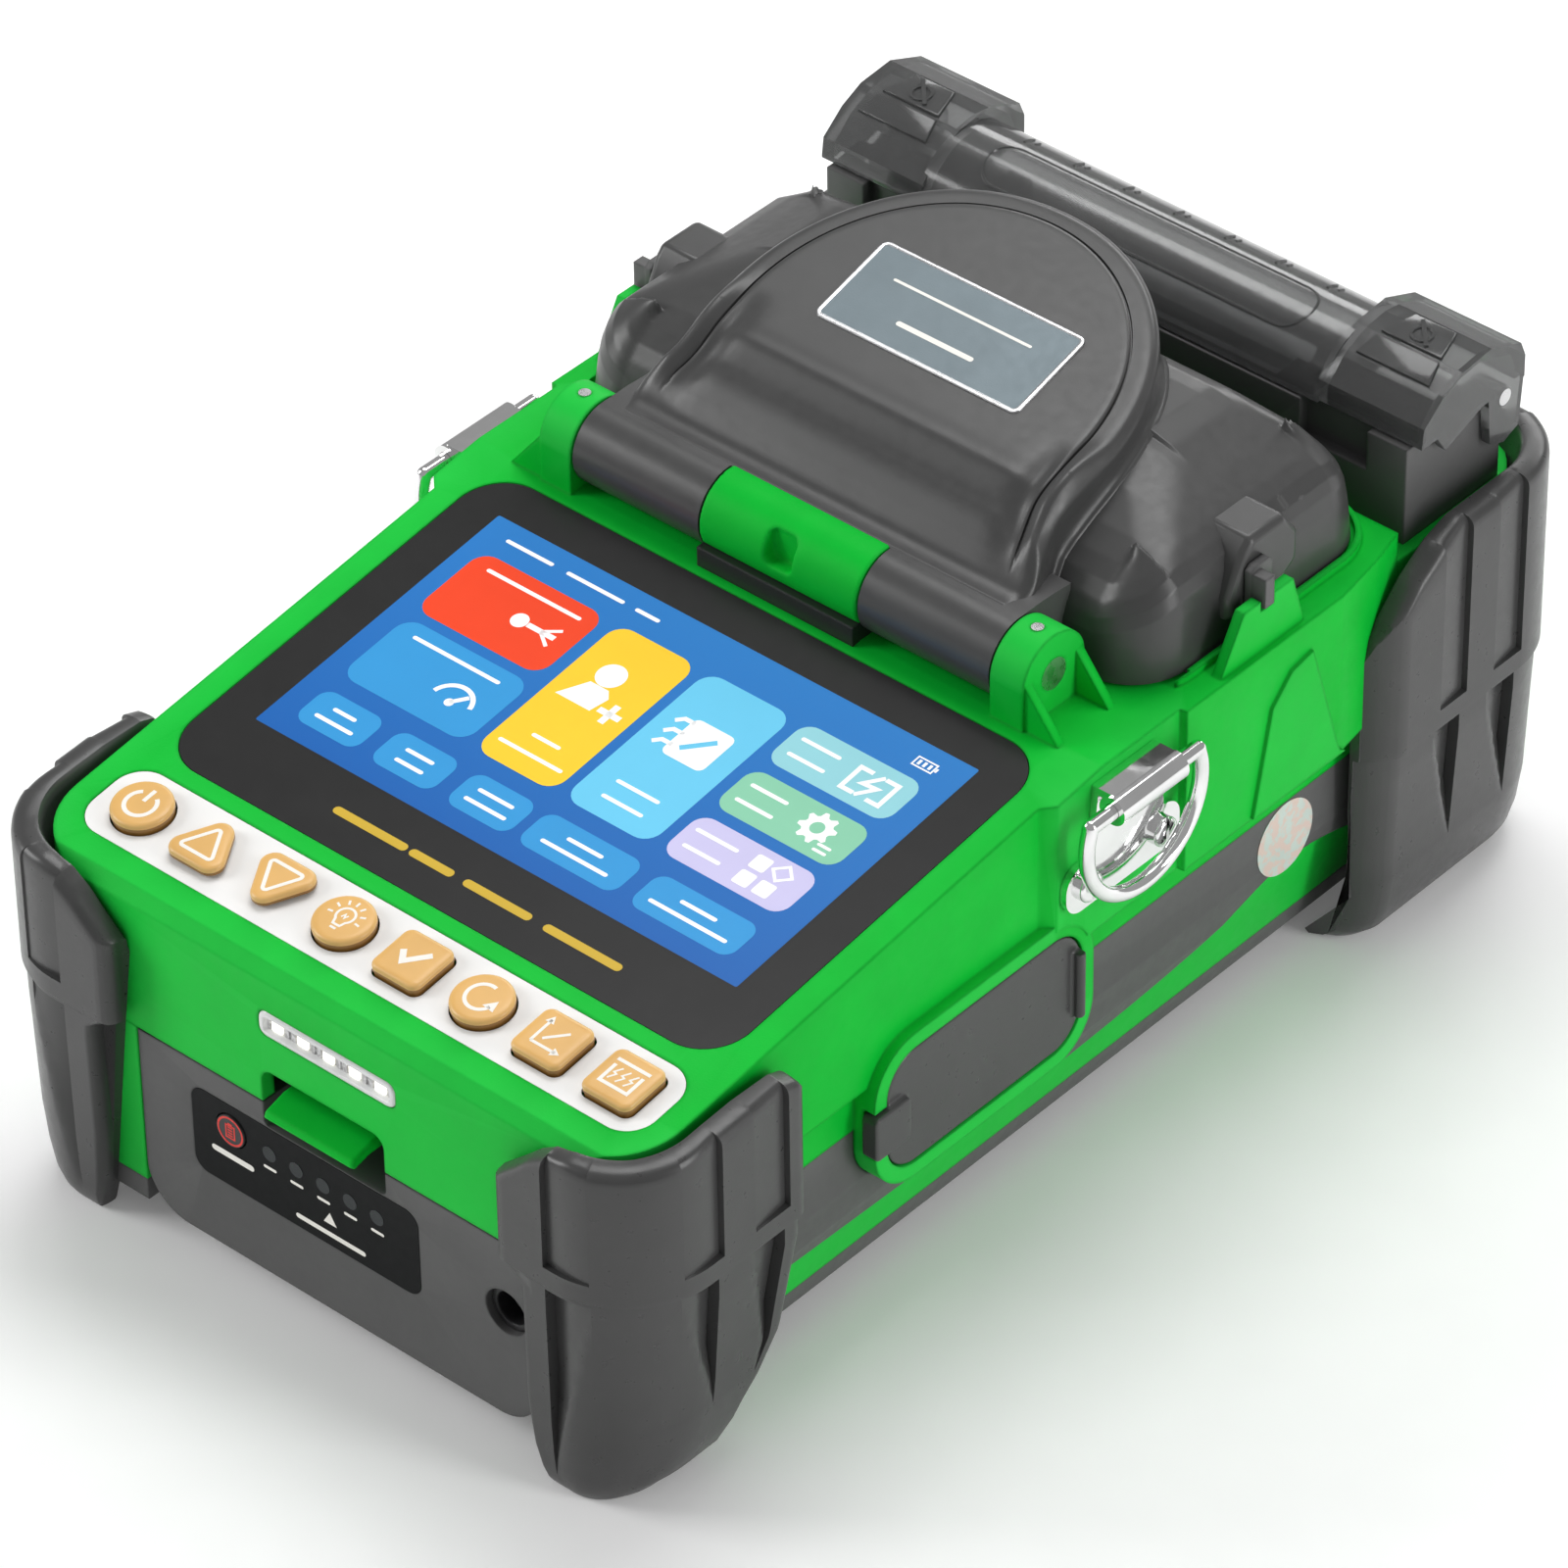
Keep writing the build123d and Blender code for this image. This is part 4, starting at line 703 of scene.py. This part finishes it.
def lid_point(x, y, lift):
    """A point on the lid's half-round middle, raised by lift."""
    reach = LID_R + lift
    across = (y - LID_Y) / LID_R
    return Vector((x, LID_Y + reach * across, LID_Z + reach * np.sqrt(max(0.0, 1.0 - across ** 2)))) * MM


def lid_ridge(bm, points, width, lift):
    """A moulded ridge that follows the lid's curve."""
    flat = [Vector(p) for p in points]
    loops = []
    for i, here in enumerate(flat):
        run = (flat[min(i + 1, len(flat) - 1)] - flat[max(i - 1, 0)]).normalized()
        side = Vector((-run.y, run.x)) * width / 2
        a, b = here + side, here - side
        loops.append([lid_point(a.x, a.y, -0.1), lid_point(b.x, b.y, -0.1),
                      lid_point(*(here - side * 0.5), lift), lid_point(*(here + side * 0.5), lift)])
    skin(bm, loops, cap_first=True, cap_last=True)


def make_lid_relief():
    """Pill-shaped outline and tick ribs on the lid, and a raised panel on each clamp."""
    bm = bmesh.new()
    pill = rounded(-32.0, 32.0, 78.4, 86.6, 4.0, 10)
    lid_ridge(bm, pill + pill[:1], 0.55, 0.22)
    for x in (-30.0, -20.0, -10.0, 0.0, 10.0, 20.0, 30.0):
        lid_ridge(bm, [(x, 88.6), (x, 89.8), (x, 91.0)], 0.6, 0.25)
        lid_ridge(bm, [(x + 1.6, 89.4), (x + 1.6, 90.6)], 0.5, 0.2)
    piece_from("heater_lid_relief", bm, SMOKED, "heater_lid")
    bm = bmesh.new()
    slope = grid_on((0, 79.5, 96.6), (1, 0, 0), (0, -2.0, 4.5))
    crest = grid_on((0, 84.0, 98.6), (1, 0, 0), (0, -0.6, 7.0))
    for side in (-1, 1):
        low, high = sorted((side * 42.2, side * 56.8))
        middle = (low + high) / 2
        top = [(low + 1.6, 0.3), (high - 1.6, 0.3), (high - 3.4, 6.4), (low + 3.4, 6.4)]
        front = [(low + 0.4, 0.4), (high - 0.4, 0.4), (high - 1.4, 4.5), (low + 1.4, 4.5)]
        plate(bm, crest, top, -0.2, 0.5, 0.25)
        plate(bm, slope, front, -0.2, 0.5, 0.25)
        stroke(bm, crest, [(high - 5.0, 1.0), (low + 5.4, 5.6)], 0.7, 0.4, 0.85)
        stroke(bm, crest, ring(middle, 3.0, 1.7, 24), 0.4, 0.4, 0.75, True)
    piece_from("heater_clamp_panels", bm, SMOKED, "heater_lid")


make_lid_relief()


# ---- display ----------------------------------------------------------------------------------------
SCREEN_NORMAL = -Vector(joint_named("key_power_press")["axis"])
TILT = atan2(-SCREEN_NORMAL.y, SCREEN_NORMAL.z)
GLASS_LOW, GLASS_HIGH = box_mm("display_glass")
# along the slope from the picture's middle: the glass's front and rear edges, the keys' row
GLASS_S0, GLASS_S1, KEY_ROW = -40.3, 34.2, -50.9
# the glass's front upper edge sits 0.05 below the housing's face
SCREEN_ORIGIN = Vector((0, GLASS_LOW.y - GLASS_S0 * cos(TILT), GLASS_HIGH.z - GLASS_S1 * sin(TILT)))
SCREEN_ORIGIN += 0.05 * SCREEN_NORMAL
SCREEN = grid_on(SCREEN_ORIGIN, (1, 0, 0), SCREEN_NORMAL)
LCD_W, LCD_H = 95.04, 53.86


def lcd(u, v):
    """A point on the picture, as shares of its width and height from the top left."""
    return ((u - 0.5) * LCD_W, (0.5 - v) * LCD_H)


def tile_outline(u0, v0, u1, v1, r):
    (x0, y1), (x1, y0) = lcd(u0, v0), lcd(u1, v1)
    return rounded(x0, x1, y0, y1, r)


def ui_color(name, color, glow=0.12):
    return surface(name, color, 0.22, bump=0.0, vary=0.015, rough_vary=0.04, glow=glow, shine=0.12)


UI_DEEP, UI_LIGHT = (0.016, 0.115, 0.40), (0.028, 0.19, 0.52)


def ui_ground():
    """Blue ground, lighter towards its upper edge."""
    material = ui_color("ui_ground", UI_DEEP)
    nodes, links = material.node_tree.nodes, material.node_tree.links
    place = nodes.new("ShaderNodeTexCoord")
    parts = nodes.new("ShaderNodeSeparateXYZ")
    links.new(place.outputs["Object"], parts.inputs["Vector"])
    ramp = nodes.new("ShaderNodeMapRange")
    ramp.inputs["From Min"].default_value = SCREEN_ORIGIN.y * MM + 0.5 * LCD_H * MM
    ramp.inputs["From Max"].default_value = SCREEN_ORIGIN.y * MM - 0.5 * LCD_H * MM
    links.new(parts.outputs["Y"], ramp.inputs["Value"])
    blend = nodes.new("ShaderNodeMix")
    blend.data_type = "RGBA"
    links.new(ramp.outputs["Result"], blend.inputs["Factor"])
    blend.inputs["A"].default_value = (*UI_LIGHT, 1.0)
    blend.inputs["B"].default_value = (*UI_DEEP, 1.0)
    shader = nodes["Principled BSDF"]
    links.new(blend.outputs["Result"], shader.inputs["Base Color"])
    links.new(blend.outputs["Result"], shader.inputs["Emission Color"])
    return material


UI_COLORS = {
    "red": (0.80, 0.065, 0.022), "blue": (0.040, 0.29, 0.62), "yellow": (0.88, 0.56, 0.035),
    "sky": (0.14, 0.54, 0.78), "teal": (0.28, 0.60, 0.66), "mint": (0.24, 0.56, 0.38),
    "lilac": (0.55, 0.52, 0.76), "white": (0.90, 0.90, 0.90), "gold": (0.62, 0.42, 0.05)}
UI_NAMES = list(UI_COLORS)
UI_TILES = [
    ("red", 0.035, 0.135, 0.300, 0.420, 3.0), ("blue", 0.040, 0.455, 0.305, 0.735, 3.0),
    ("yellow", 0.325, 0.135, 0.492, 0.735, 3.0), ("sky", 0.512, 0.135, 0.690, 0.735, 3.0),
    ("teal", 0.712, 0.130, 0.955, 0.305, 2.6), ("mint", 0.712, 0.345, 0.955, 0.520, 2.6),
    ("lilac", 0.712, 0.560, 0.955, 0.735, 2.6), ("blue", 0.045, 0.795, 0.175, 0.935, 2.2),
    ("blue", 0.205, 0.795, 0.335, 0.935, 2.2), ("blue", 0.365, 0.795, 0.495, 0.935, 2.2),
    ("blue", 0.515, 0.795, 0.715, 0.935, 2.2), ("blue", 0.745, 0.795, 0.950, 0.935, 2.2)]


def bars(bm, place, rows, high, index):
    """Plain rounded bars that stand where a caption would."""
    for x, y, length, thick in rows:
        bar = rounded(x - length / 2, x + length / 2, y - thick / 2, y + thick / 2, thick * 0.49, 3)
        plate(bm, place, bar, high - 0.02, high, index=index)


def gear(cx, cy, r, teeth, depth):
    points = []
    for i in range(teeth * 4):
        a = 2 * pi * (i + 0.5) / (teeth * 4)
        reach = r if i % 4 < 2 else r - depth
        points.append((cx + reach * cos(a), cy + reach * sin(a)))
    return points


def make_picture():
    """The lit picture: ground, tiles and icons, a hair above the glass."""
    bm = bmesh.new()
    plate(bm, SCREEN, rounded(-LCD_W / 2, LCD_W / 2, -LCD_H / 2, LCD_H / 2, 0.3, 2), -0.30, -0.04)
    piece_from("display_picture", bm, ui_ground(), "housing")
    bm = bmesh.new()
    for name, u0, v0, u1, v1, r in UI_TILES:
        plate(bm, SCREEN, tile_outline(u0, v0, u1, v1, r), -0.1, -0.015, index=UI_NAMES.index(name))
    white, h = UI_NAMES.index("white"), 0.005
    low = h - 0.02

    def dot(x, y, r, index=white):
        plate(bm, SCREEN, ring(x, y, r, 28), low, h, index=index)

    def line(points, width, closed=False, index=white):
        stroke(bm, SCREEN, points, width, low, h, closed, index)

    # person with a plus sign
    x, y = lcd(0.395, 0.36)
    dot(x, y + 3.0, 2.5)
    body = [(x - 4.6, y - 4.4), (x + 2.2, y - 4.4), (x + 3.0, y - 1.0), (x + 1.8, y + 0.4),
            (x - 1.8, y + 0.4)]
    plate(bm, SCREEN, body, low, h, index=white)
    line([(x + 5.2, y - 1.2), (x + 5.2, y - 5.4)], 1.15)
    line([(x + 3.1, y - 3.3), (x + 7.3, y - 3.3)], 1.15)
    # notebook with a pen
    x, y = lcd(0.605, 0.37)
    plate(bm, SCREEN, rounded(x - 3.6, x + 4.4, y - 4.2, y + 4.2, 1.2, 4), low, h, index=white)
    for step in (-2.6, 0.0, 2.6):
        line([(x - 6.0, y + step - 0.6), (x - 4.9, y + step + 0.5), (x - 2.9, y + step + 0.5)], 0.8)
    pen = [(x - 1.6, y - 2.0), (x + 2.4, y + 2.0)]
    stroke(bm, SCREEN, pen, 1.0, h - 0.01, h + 0.008, index=UI_NAMES.index("sky"))
    # battery with a bolt
    x, y = lcd(0.885, 0.22)
    line([(x - 1.2, y + 2.4), (x - 3.6, y + 2.4), (x - 3.6, y - 2.4), (x - 1.2, y - 2.4)], 0.8)
    line([(x + 1.2, y + 2.4), (x + 3.6, y + 2.4), (x + 3.6, y - 2.4), (x + 1.2, y - 2.4)], 0.8)
    line([(x + 0.9, y + 2.6), (x - 1.3, y - 0.1), (x + 1.3, y + 0.1), (x - 0.9, y - 2.6)], 0.75)
    # gear and list
    x, y = lcd(0.878, 0.43)
    plate(bm, SCREEN, gear(x, y + 0.4, 3.2, 8, 0.8), low, h, index=white)
    plate(bm, SCREEN, ring(x, y + 0.4, 1.2, 20), h - 0.01, h + 0.006, index=UI_NAMES.index("mint"))
    bars(bm, SCREEN, [(x + 3.4, y - 2.0, 2.6, 0.55), (x + 3.4, y - 3.2, 2.6, 0.55)], h, white)
    # squares and a lozenge
    x, y = lcd(0.878, 0.645)
    for dx, dy in ((-1.9, 1.7), (-1.9, -2.0), (1.9, -2.0)):
        square = rounded(x + dx - 1.45, x + dx + 1.45, y + dy - 1.45, y + dy + 1.45, 0.4, 3)
        plate(bm, SCREEN, square, low, h, index=white)
    line([(x + 2.1, y + 3.6), (x + 3.9, y + 1.9), (x + 2.1, y + 0.2), (x + 0.3, y + 1.9)], 0.5, closed=True)
    # beam mark, meter mark
    x, y = lcd(0.225, 0.285)
    line([(x - 1.6, y), (x + 3.8, y)], 1.0)
    for angle in (35, -35):
        line([(x + 1.0, y), (x + 1.0 + 3.4 * cos(radians(angle)), y + 3.4 * sin(radians(angle)))], 0.6)
    dot(x - 3.2, y, 1.5)
    x, y = lcd(0.225, 0.615)
    line(arc(x, y - 1.4, 3.6, 10, 170, 16), 0.8)
    line([(x, y - 1.4), (x + 1.9, y + 1.0)], 0.8)
    dot(x, y - 1.4, 0.8)
    # battery state in the corner
    x, y = lcd(0.925, 0.07)
    line([(x - 1.9, y - 0.9), (x + 1.7, y - 0.9), (x + 1.7, y + 0.9), (x - 1.9, y + 0.9)], 0.28, closed=True)
    for dx in (-1.1, -0.1, 0.9):
        line([(x + dx, y - 0.5), (x + dx, y + 0.5)], 0.5)
    line([(x + 2.1, y - 0.4), (x + 2.1, y + 0.4)], 0.4)
    rows = []
    for u, v, length in ((0.17, 0.185, 19.0), (0.17, 0.505, 17.5), (0.409, 0.60, 5.6), (0.409, 0.665, 12.6),
                         (0.60, 0.60, 8.4), (0.60, 0.665, 8.0), (0.77, 0.185, 7.6), (0.77, 0.25, 7.2),
                         (0.77, 0.40, 7.2), (0.77, 0.465, 7.2), (0.77, 0.615, 8.2), (0.77, 0.68, 7.2),
                         (0.11, 0.845, 4.6), (0.11, 0.89, 7.6), (0.27, 0.845, 5.6), (0.27, 0.89, 5.6),
                         (0.43, 0.845, 7.0), (0.43, 0.89, 8.2), (0.615, 0.845, 7.0), (0.615, 0.89, 13.0),
                         (0.847, 0.845, 7.0), (0.847, 0.89, 15.0), (0.10, 0.065, 9.6), (0.24, 0.065, 11.6),
                         (0.35, 0.065, 4.8)):
        x, y = lcd(u, v)
        rows.append((x, y, length, 0.72))
    bars(bm, SCREEN, rows, h, white)
    below = [(x, -33.9, length, 1.5) for x, length in ((-17.6, 14.6), (-5.4, 8.6), (7.6, 13.2), (24.2, 15.0))]
    bars(bm, SCREEN, below, 0.0, UI_NAMES.index("gold"))
    lights = [ui_color("ui_" + name, color, 0.02 if name == "gold" else 0.12)
              for name, color in UI_COLORS.items()]
    piece_from("display_symbols", bm, lights, "housing")


# ---- keys --------------------------------------------------------------------------------------------
KEYS = ["key_power", "key_up", "key_down", "key_lamp", "key_enter", "key_reset", "key_xy", "key_heater"]
SKIRT_TOP = 1.0


def triangle(turn, reach, r):
    """A triangle with round corners whose centres lie at reach from its middle."""
    drop = -0.9 if turn == 90 else 0.9
    points = []
    for corner in (turn, turn + 120, turn + 240):
        a = radians(corner)
        points += arc(reach * cos(a), reach * sin(a) + drop, r, corner - 60, corner + 60, 8)
    return points


def key_shape(name):
    if name in ("key_power", "key_lamp", "key_reset"):
        return ring(0, 0, 4.7, 48)
    if name in ("key_up", "key_down"):
        return triangle(90 if name == "key_up" else 270, 3.2, 1.2)
    return rounded(-4.5, 4.5, -4.5, 4.5, 1.4, 8)


def key_icon(bm, place, name, low, high):
    """The sign printed on a key, between two heights."""
    def line(points, width=0.62, closed=False):
        stroke(bm, place, points, width, low, high, closed, 1)

    if name == "key_power":
        line(arc(0, -0.2, 2.5, 125, 415, 28), 0.7)
        line([(0, 0.4), (0, 3.0)], 0.7)
    elif name in ("key_up", "key_down"):
        line(triangle(90 if name == "key_up" else 270, 2.9, 0.5), 0.62, True)
    elif name == "key_lamp":
        bulb = arc(0, 0.5, 1.5, -50, 230, 20)
        line(bulb + [(-0.65, -1.6), (0.65, -1.6)], 0.4, True)
        line([(-0.55, -2.3), (0.55, -2.3)], 0.4)
        line([(-0.45, 0.0), (-0.15, 0.7), (0.15, 0.0), (0.45, 0.7)], 0.25)
        for angle in (-10, 25, 60, 90, 120, 155, 190):
            a = radians(angle)
            line([(2.2 * cos(a), 0.5 + 2.2 * sin(a)), (3.1 * cos(a), 0.5 + 3.1 * sin(a))], 0.36)
    elif name == "key_enter":
        line([(-2.1, 0.5), (-0.7, -1.4), (2.3, 1.9)], 1.0)
    elif name == "key_reset":
        line(arc(0, 0, 2.5, 75, 340, 26), 0.62)
        a = radians(348)
        tip = Vector((2.5 * cos(a), 2.5 * sin(a)))
        head = [(tip.x - 1.3, tip.y - 0.6), (tip.x + 0.9, tip.y - 0.9), (tip.x + 0.3, tip.y + 1.2)]
        plate(bm, place, head, low, high, index=1)
    elif name == "key_xy":
        line([(-2.2, -2.2), (-2.2, 2.5)], 0.5)
        line([(-2.2, -2.2), (2.5, -2.2)], 0.5)
        plate(bm, place, [(-3.0, 1.9), (-1.4, 1.9), (-2.2, 3.3)], low, high, index=1)
        plate(bm, place, [(1.9, -3.0), (3.3, -2.2), (1.9, -1.4)], low, high, index=1)
        line([(-1.0, -1.0), (1.9, 1.9)], 0.5)
    elif name == "key_heater":
        line([(-3.1, 2.4), (3.1, 2.4)], 0.6)
        line([(-2.6, 1.4), (-2.6, -2.2), (2.6, -2.2), (2.6, 1.4)], 0.6)
        for x in (-1.5, 0.0, 1.5):
            line([(x + 0.45, 1.3), (x - 0.3, 0.1), (x + 0.3, -0.1), (x - 0.45, -1.3)], 0.3)


def make_keys():
    """Keycaps with a soft rim, a darker skirt and a printed sign."""
    skirt = surface("key_skirt", (0.30, 0.15, 0.035), 0.36, grain=0.3, bump=0.08)
    for name in KEYS:
        low, high = box_mm(name)
        x = (low.x + high.x) / 2
        centre = SCREEN_ORIGIN + Vector((x, 0, 0)) + Vector((0, cos(TILT), sin(TILT))) * KEY_ROW
        place = grid_on(centre, (1, 0, 0), SCREEN_NORMAL)
        bm = bmesh.new()
        # how far the cap stands out over its skirt
        wide = 1.0 if name in ("key_up", "key_down") else 0.15
        levels = [(0.0, -2.0), (0.0, 0.45), (-wide, 0.5), (-wide, 1.0), (-wide, 1.35), (0.12 - wide, 1.62),
                  (0.38 - wide, 1.8), (0.8 - wide, 1.88), (1.3 - wide, 1.9)]
        skin(bm, stacked(place, key_shape(name), levels), cap_first=True, cap_last=True)
        for face in bm.faces:
            if (place.inverted() @ face.calc_center_median()).z < SKIRT_TOP:
                face.material_index = 2
        key_icon(bm, place, name, 1.80, 1.925)
        piece_from(name + "_cap", bm, [KEY_GOLD, ICON_WHITE, skirt], name, (name,), crease=50)


make_picture()
make_keys()


# ---- battery front -----------------------------------------------------------------------------------
WINDOW_XS = [-11.3 + 5.4 * i for i in range(5)]


def make_battery_marks():
    """Printed signs on the label: a red battery sign, five windows and a pointer."""
    red = surface("mark_red", (0.75, 0.03, 0.02), 0.4, bump=0.0)
    dark = surface("lamp_window", (0.022, 0.026, 0.028), 0.2, bump=0.0, shine=0.3)
    low, high = box_mm("battery_check_button")
    x, z = (low.x + high.x) / 2, (low.z + high.z) / 2
    cap = front_plane(low.y)
    bm = bmesh.new()
    stroke(bm, cap, ring(x, z, 2.45, 36), 0.34, -0.02, 0.03, True)
    cell = [(x - 0.85, z - 1.3), (x + 0.85, z - 1.3), (x + 0.85, z + 1.05), (x - 0.85, z + 1.05)]
    stroke(bm, cap, cell, 0.26, -0.02, 0.03, True)
    plate(bm, cap, rounded(x - 0.45, x + 0.45, z + 1.15, z + 1.5, 0.1, 2), -0.02, 0.03)
    for step in (-0.8, -0.3, 0.2, 0.7):
        stroke(bm, cap, [(x - 0.5, z + step), (x + 0.5, z + step)], 0.24, -0.02, 0.03)
    piece_from("battery_sign", bm, red, "check_button")
    label = front_plane(box_mm("battery_label")[0].y)
    bm = bmesh.new()
    for window_x in WINDOW_XS:
        plate(bm, label, ring(window_x, 28.4, 1.35, 28), -0.02, 0.05)
    pointer_x = 0.6
    pointer = [(pointer_x - 1.3, 21.6), (pointer_x + 1.3, 21.6), (pointer_x, 23.8)]
    plate(bm, label, pointer, -0.02, 0.03, index=1)
    rows = [(window_x, 25.6, 2.6, 0.55) for window_x in WINDOW_XS]
    rows += [(x, 23.4, 8.6, 1.1), (pointer_x, 19.6, 14.0, 0.9)]
    bars(bm, label, rows, 0.03, 1)
    piece_from("battery_label_marks", bm, [dark, ICON_WHITE], "battery")


make_battery_marks()


# ---- work light --------------------------------------------------------------------------------------
def make_light_bar():
    """A clear window with a rolled rim over five lit chips in their wells."""
    low, high = box_mm("light_bar_lens")
    place = front_plane(low.y)
    middle_z = (low.z + high.z) / 2
    bm = bmesh.new()
    shape = rounded(low.x, high.x, low.z, high.z, 1.6)
    levels = [(0.0, -2.0), (0.0, -0.35), (0.15, -0.1), (0.45, 0.0), (0.9, 0.0), (1.15, -0.3), (1.3, -0.9)]
    skin(bm, stacked(place, shape, levels), cap_first=True, cap_last=True)
    frost = surface("lens_rim", (0.75, 0.76, 0.76), 0.25, grain=0.5, bump=0.1, coat=0.5)
    lit = surface("led_lit", (1.0, 0.97, 0.85), 0.4, bump=0.0, glow=1.2)
    well = surface("led_well", (0.42, 0.42, 0.42), 0.35, grain=0.6, bump=0.2,
                   second=(0.65, 0.65, 0.65), second_mm=0.9)
    # the large end faces are the bottom of the well
    for face in bm.faces:
        if (place.inverted() @ face.calc_center_median()).z < -0.5 and face.calc_area() > 20e-6:
            face.material_index = 2
    for x in (-8.5, -3.4, 1.7, 6.8, 11.9):
        chip = rounded(x - 1.05, x + 1.05, middle_z - 0.95, middle_z + 0.95, 0.3, 3)
        plate(bm, place, chip, -0.95, -0.5, 0.12, index=1)
        for dx in (-1.9, 1.9):
            bar = rounded(x + dx - 0.35, x + dx + 0.35, middle_z - 1.2, middle_z + 1.2, 0.1, 2)
            plate(bm, place, bar, -0.95, -0.7, index=2)
    finish = [frost, lit, well]
    piece_from("light_bar_window", bm, finish, "housing", ("light_bar_lens",), crease=50)


make_light_bar()


# ---- nameplate ---------------------------------------------------------------------------------------
PLATE_Y, PLATE_TILT = 35.9, radians(15.0)


def make_nameplate():
    """A blank plate with a bright bevel, and bars in place of a name."""
    normal = Vector((0, -sin(PLATE_TILT), cos(PLATE_TILT)))
    centre = Vector((0, PLATE_Y, float(profile(ROOF, PLATE_Y))))
    place = grid_on(centre, (1, 0, 0), normal)
    shape = rounded(-19.9, 19.9, -8.7, 8.7, 1.4)
    levels = [(0.0, -0.5), (0.0, 0.62), (0.12, 0.78), (0.45, 0.84), (0.75, 0.72)]
    bm = bmesh.new()
    skin(bm, stacked(place, shape, levels), cap_first=True, index=1)
    plate(bm, place, inset(shape, 0.72), 0.3, 0.73)
    bars(bm, place, [(0.0, 3.0, 27.0, 0.5), (0.0, -3.6, 15.0, 0.9)], 0.76, 2)
    finish = [NAMEPLATE, STEEL, ICON_WHITE]
    piece_from("nameplate_face", bm, finish, "wind_cover", ("nameplate",), crease=40)


make_nameplate()
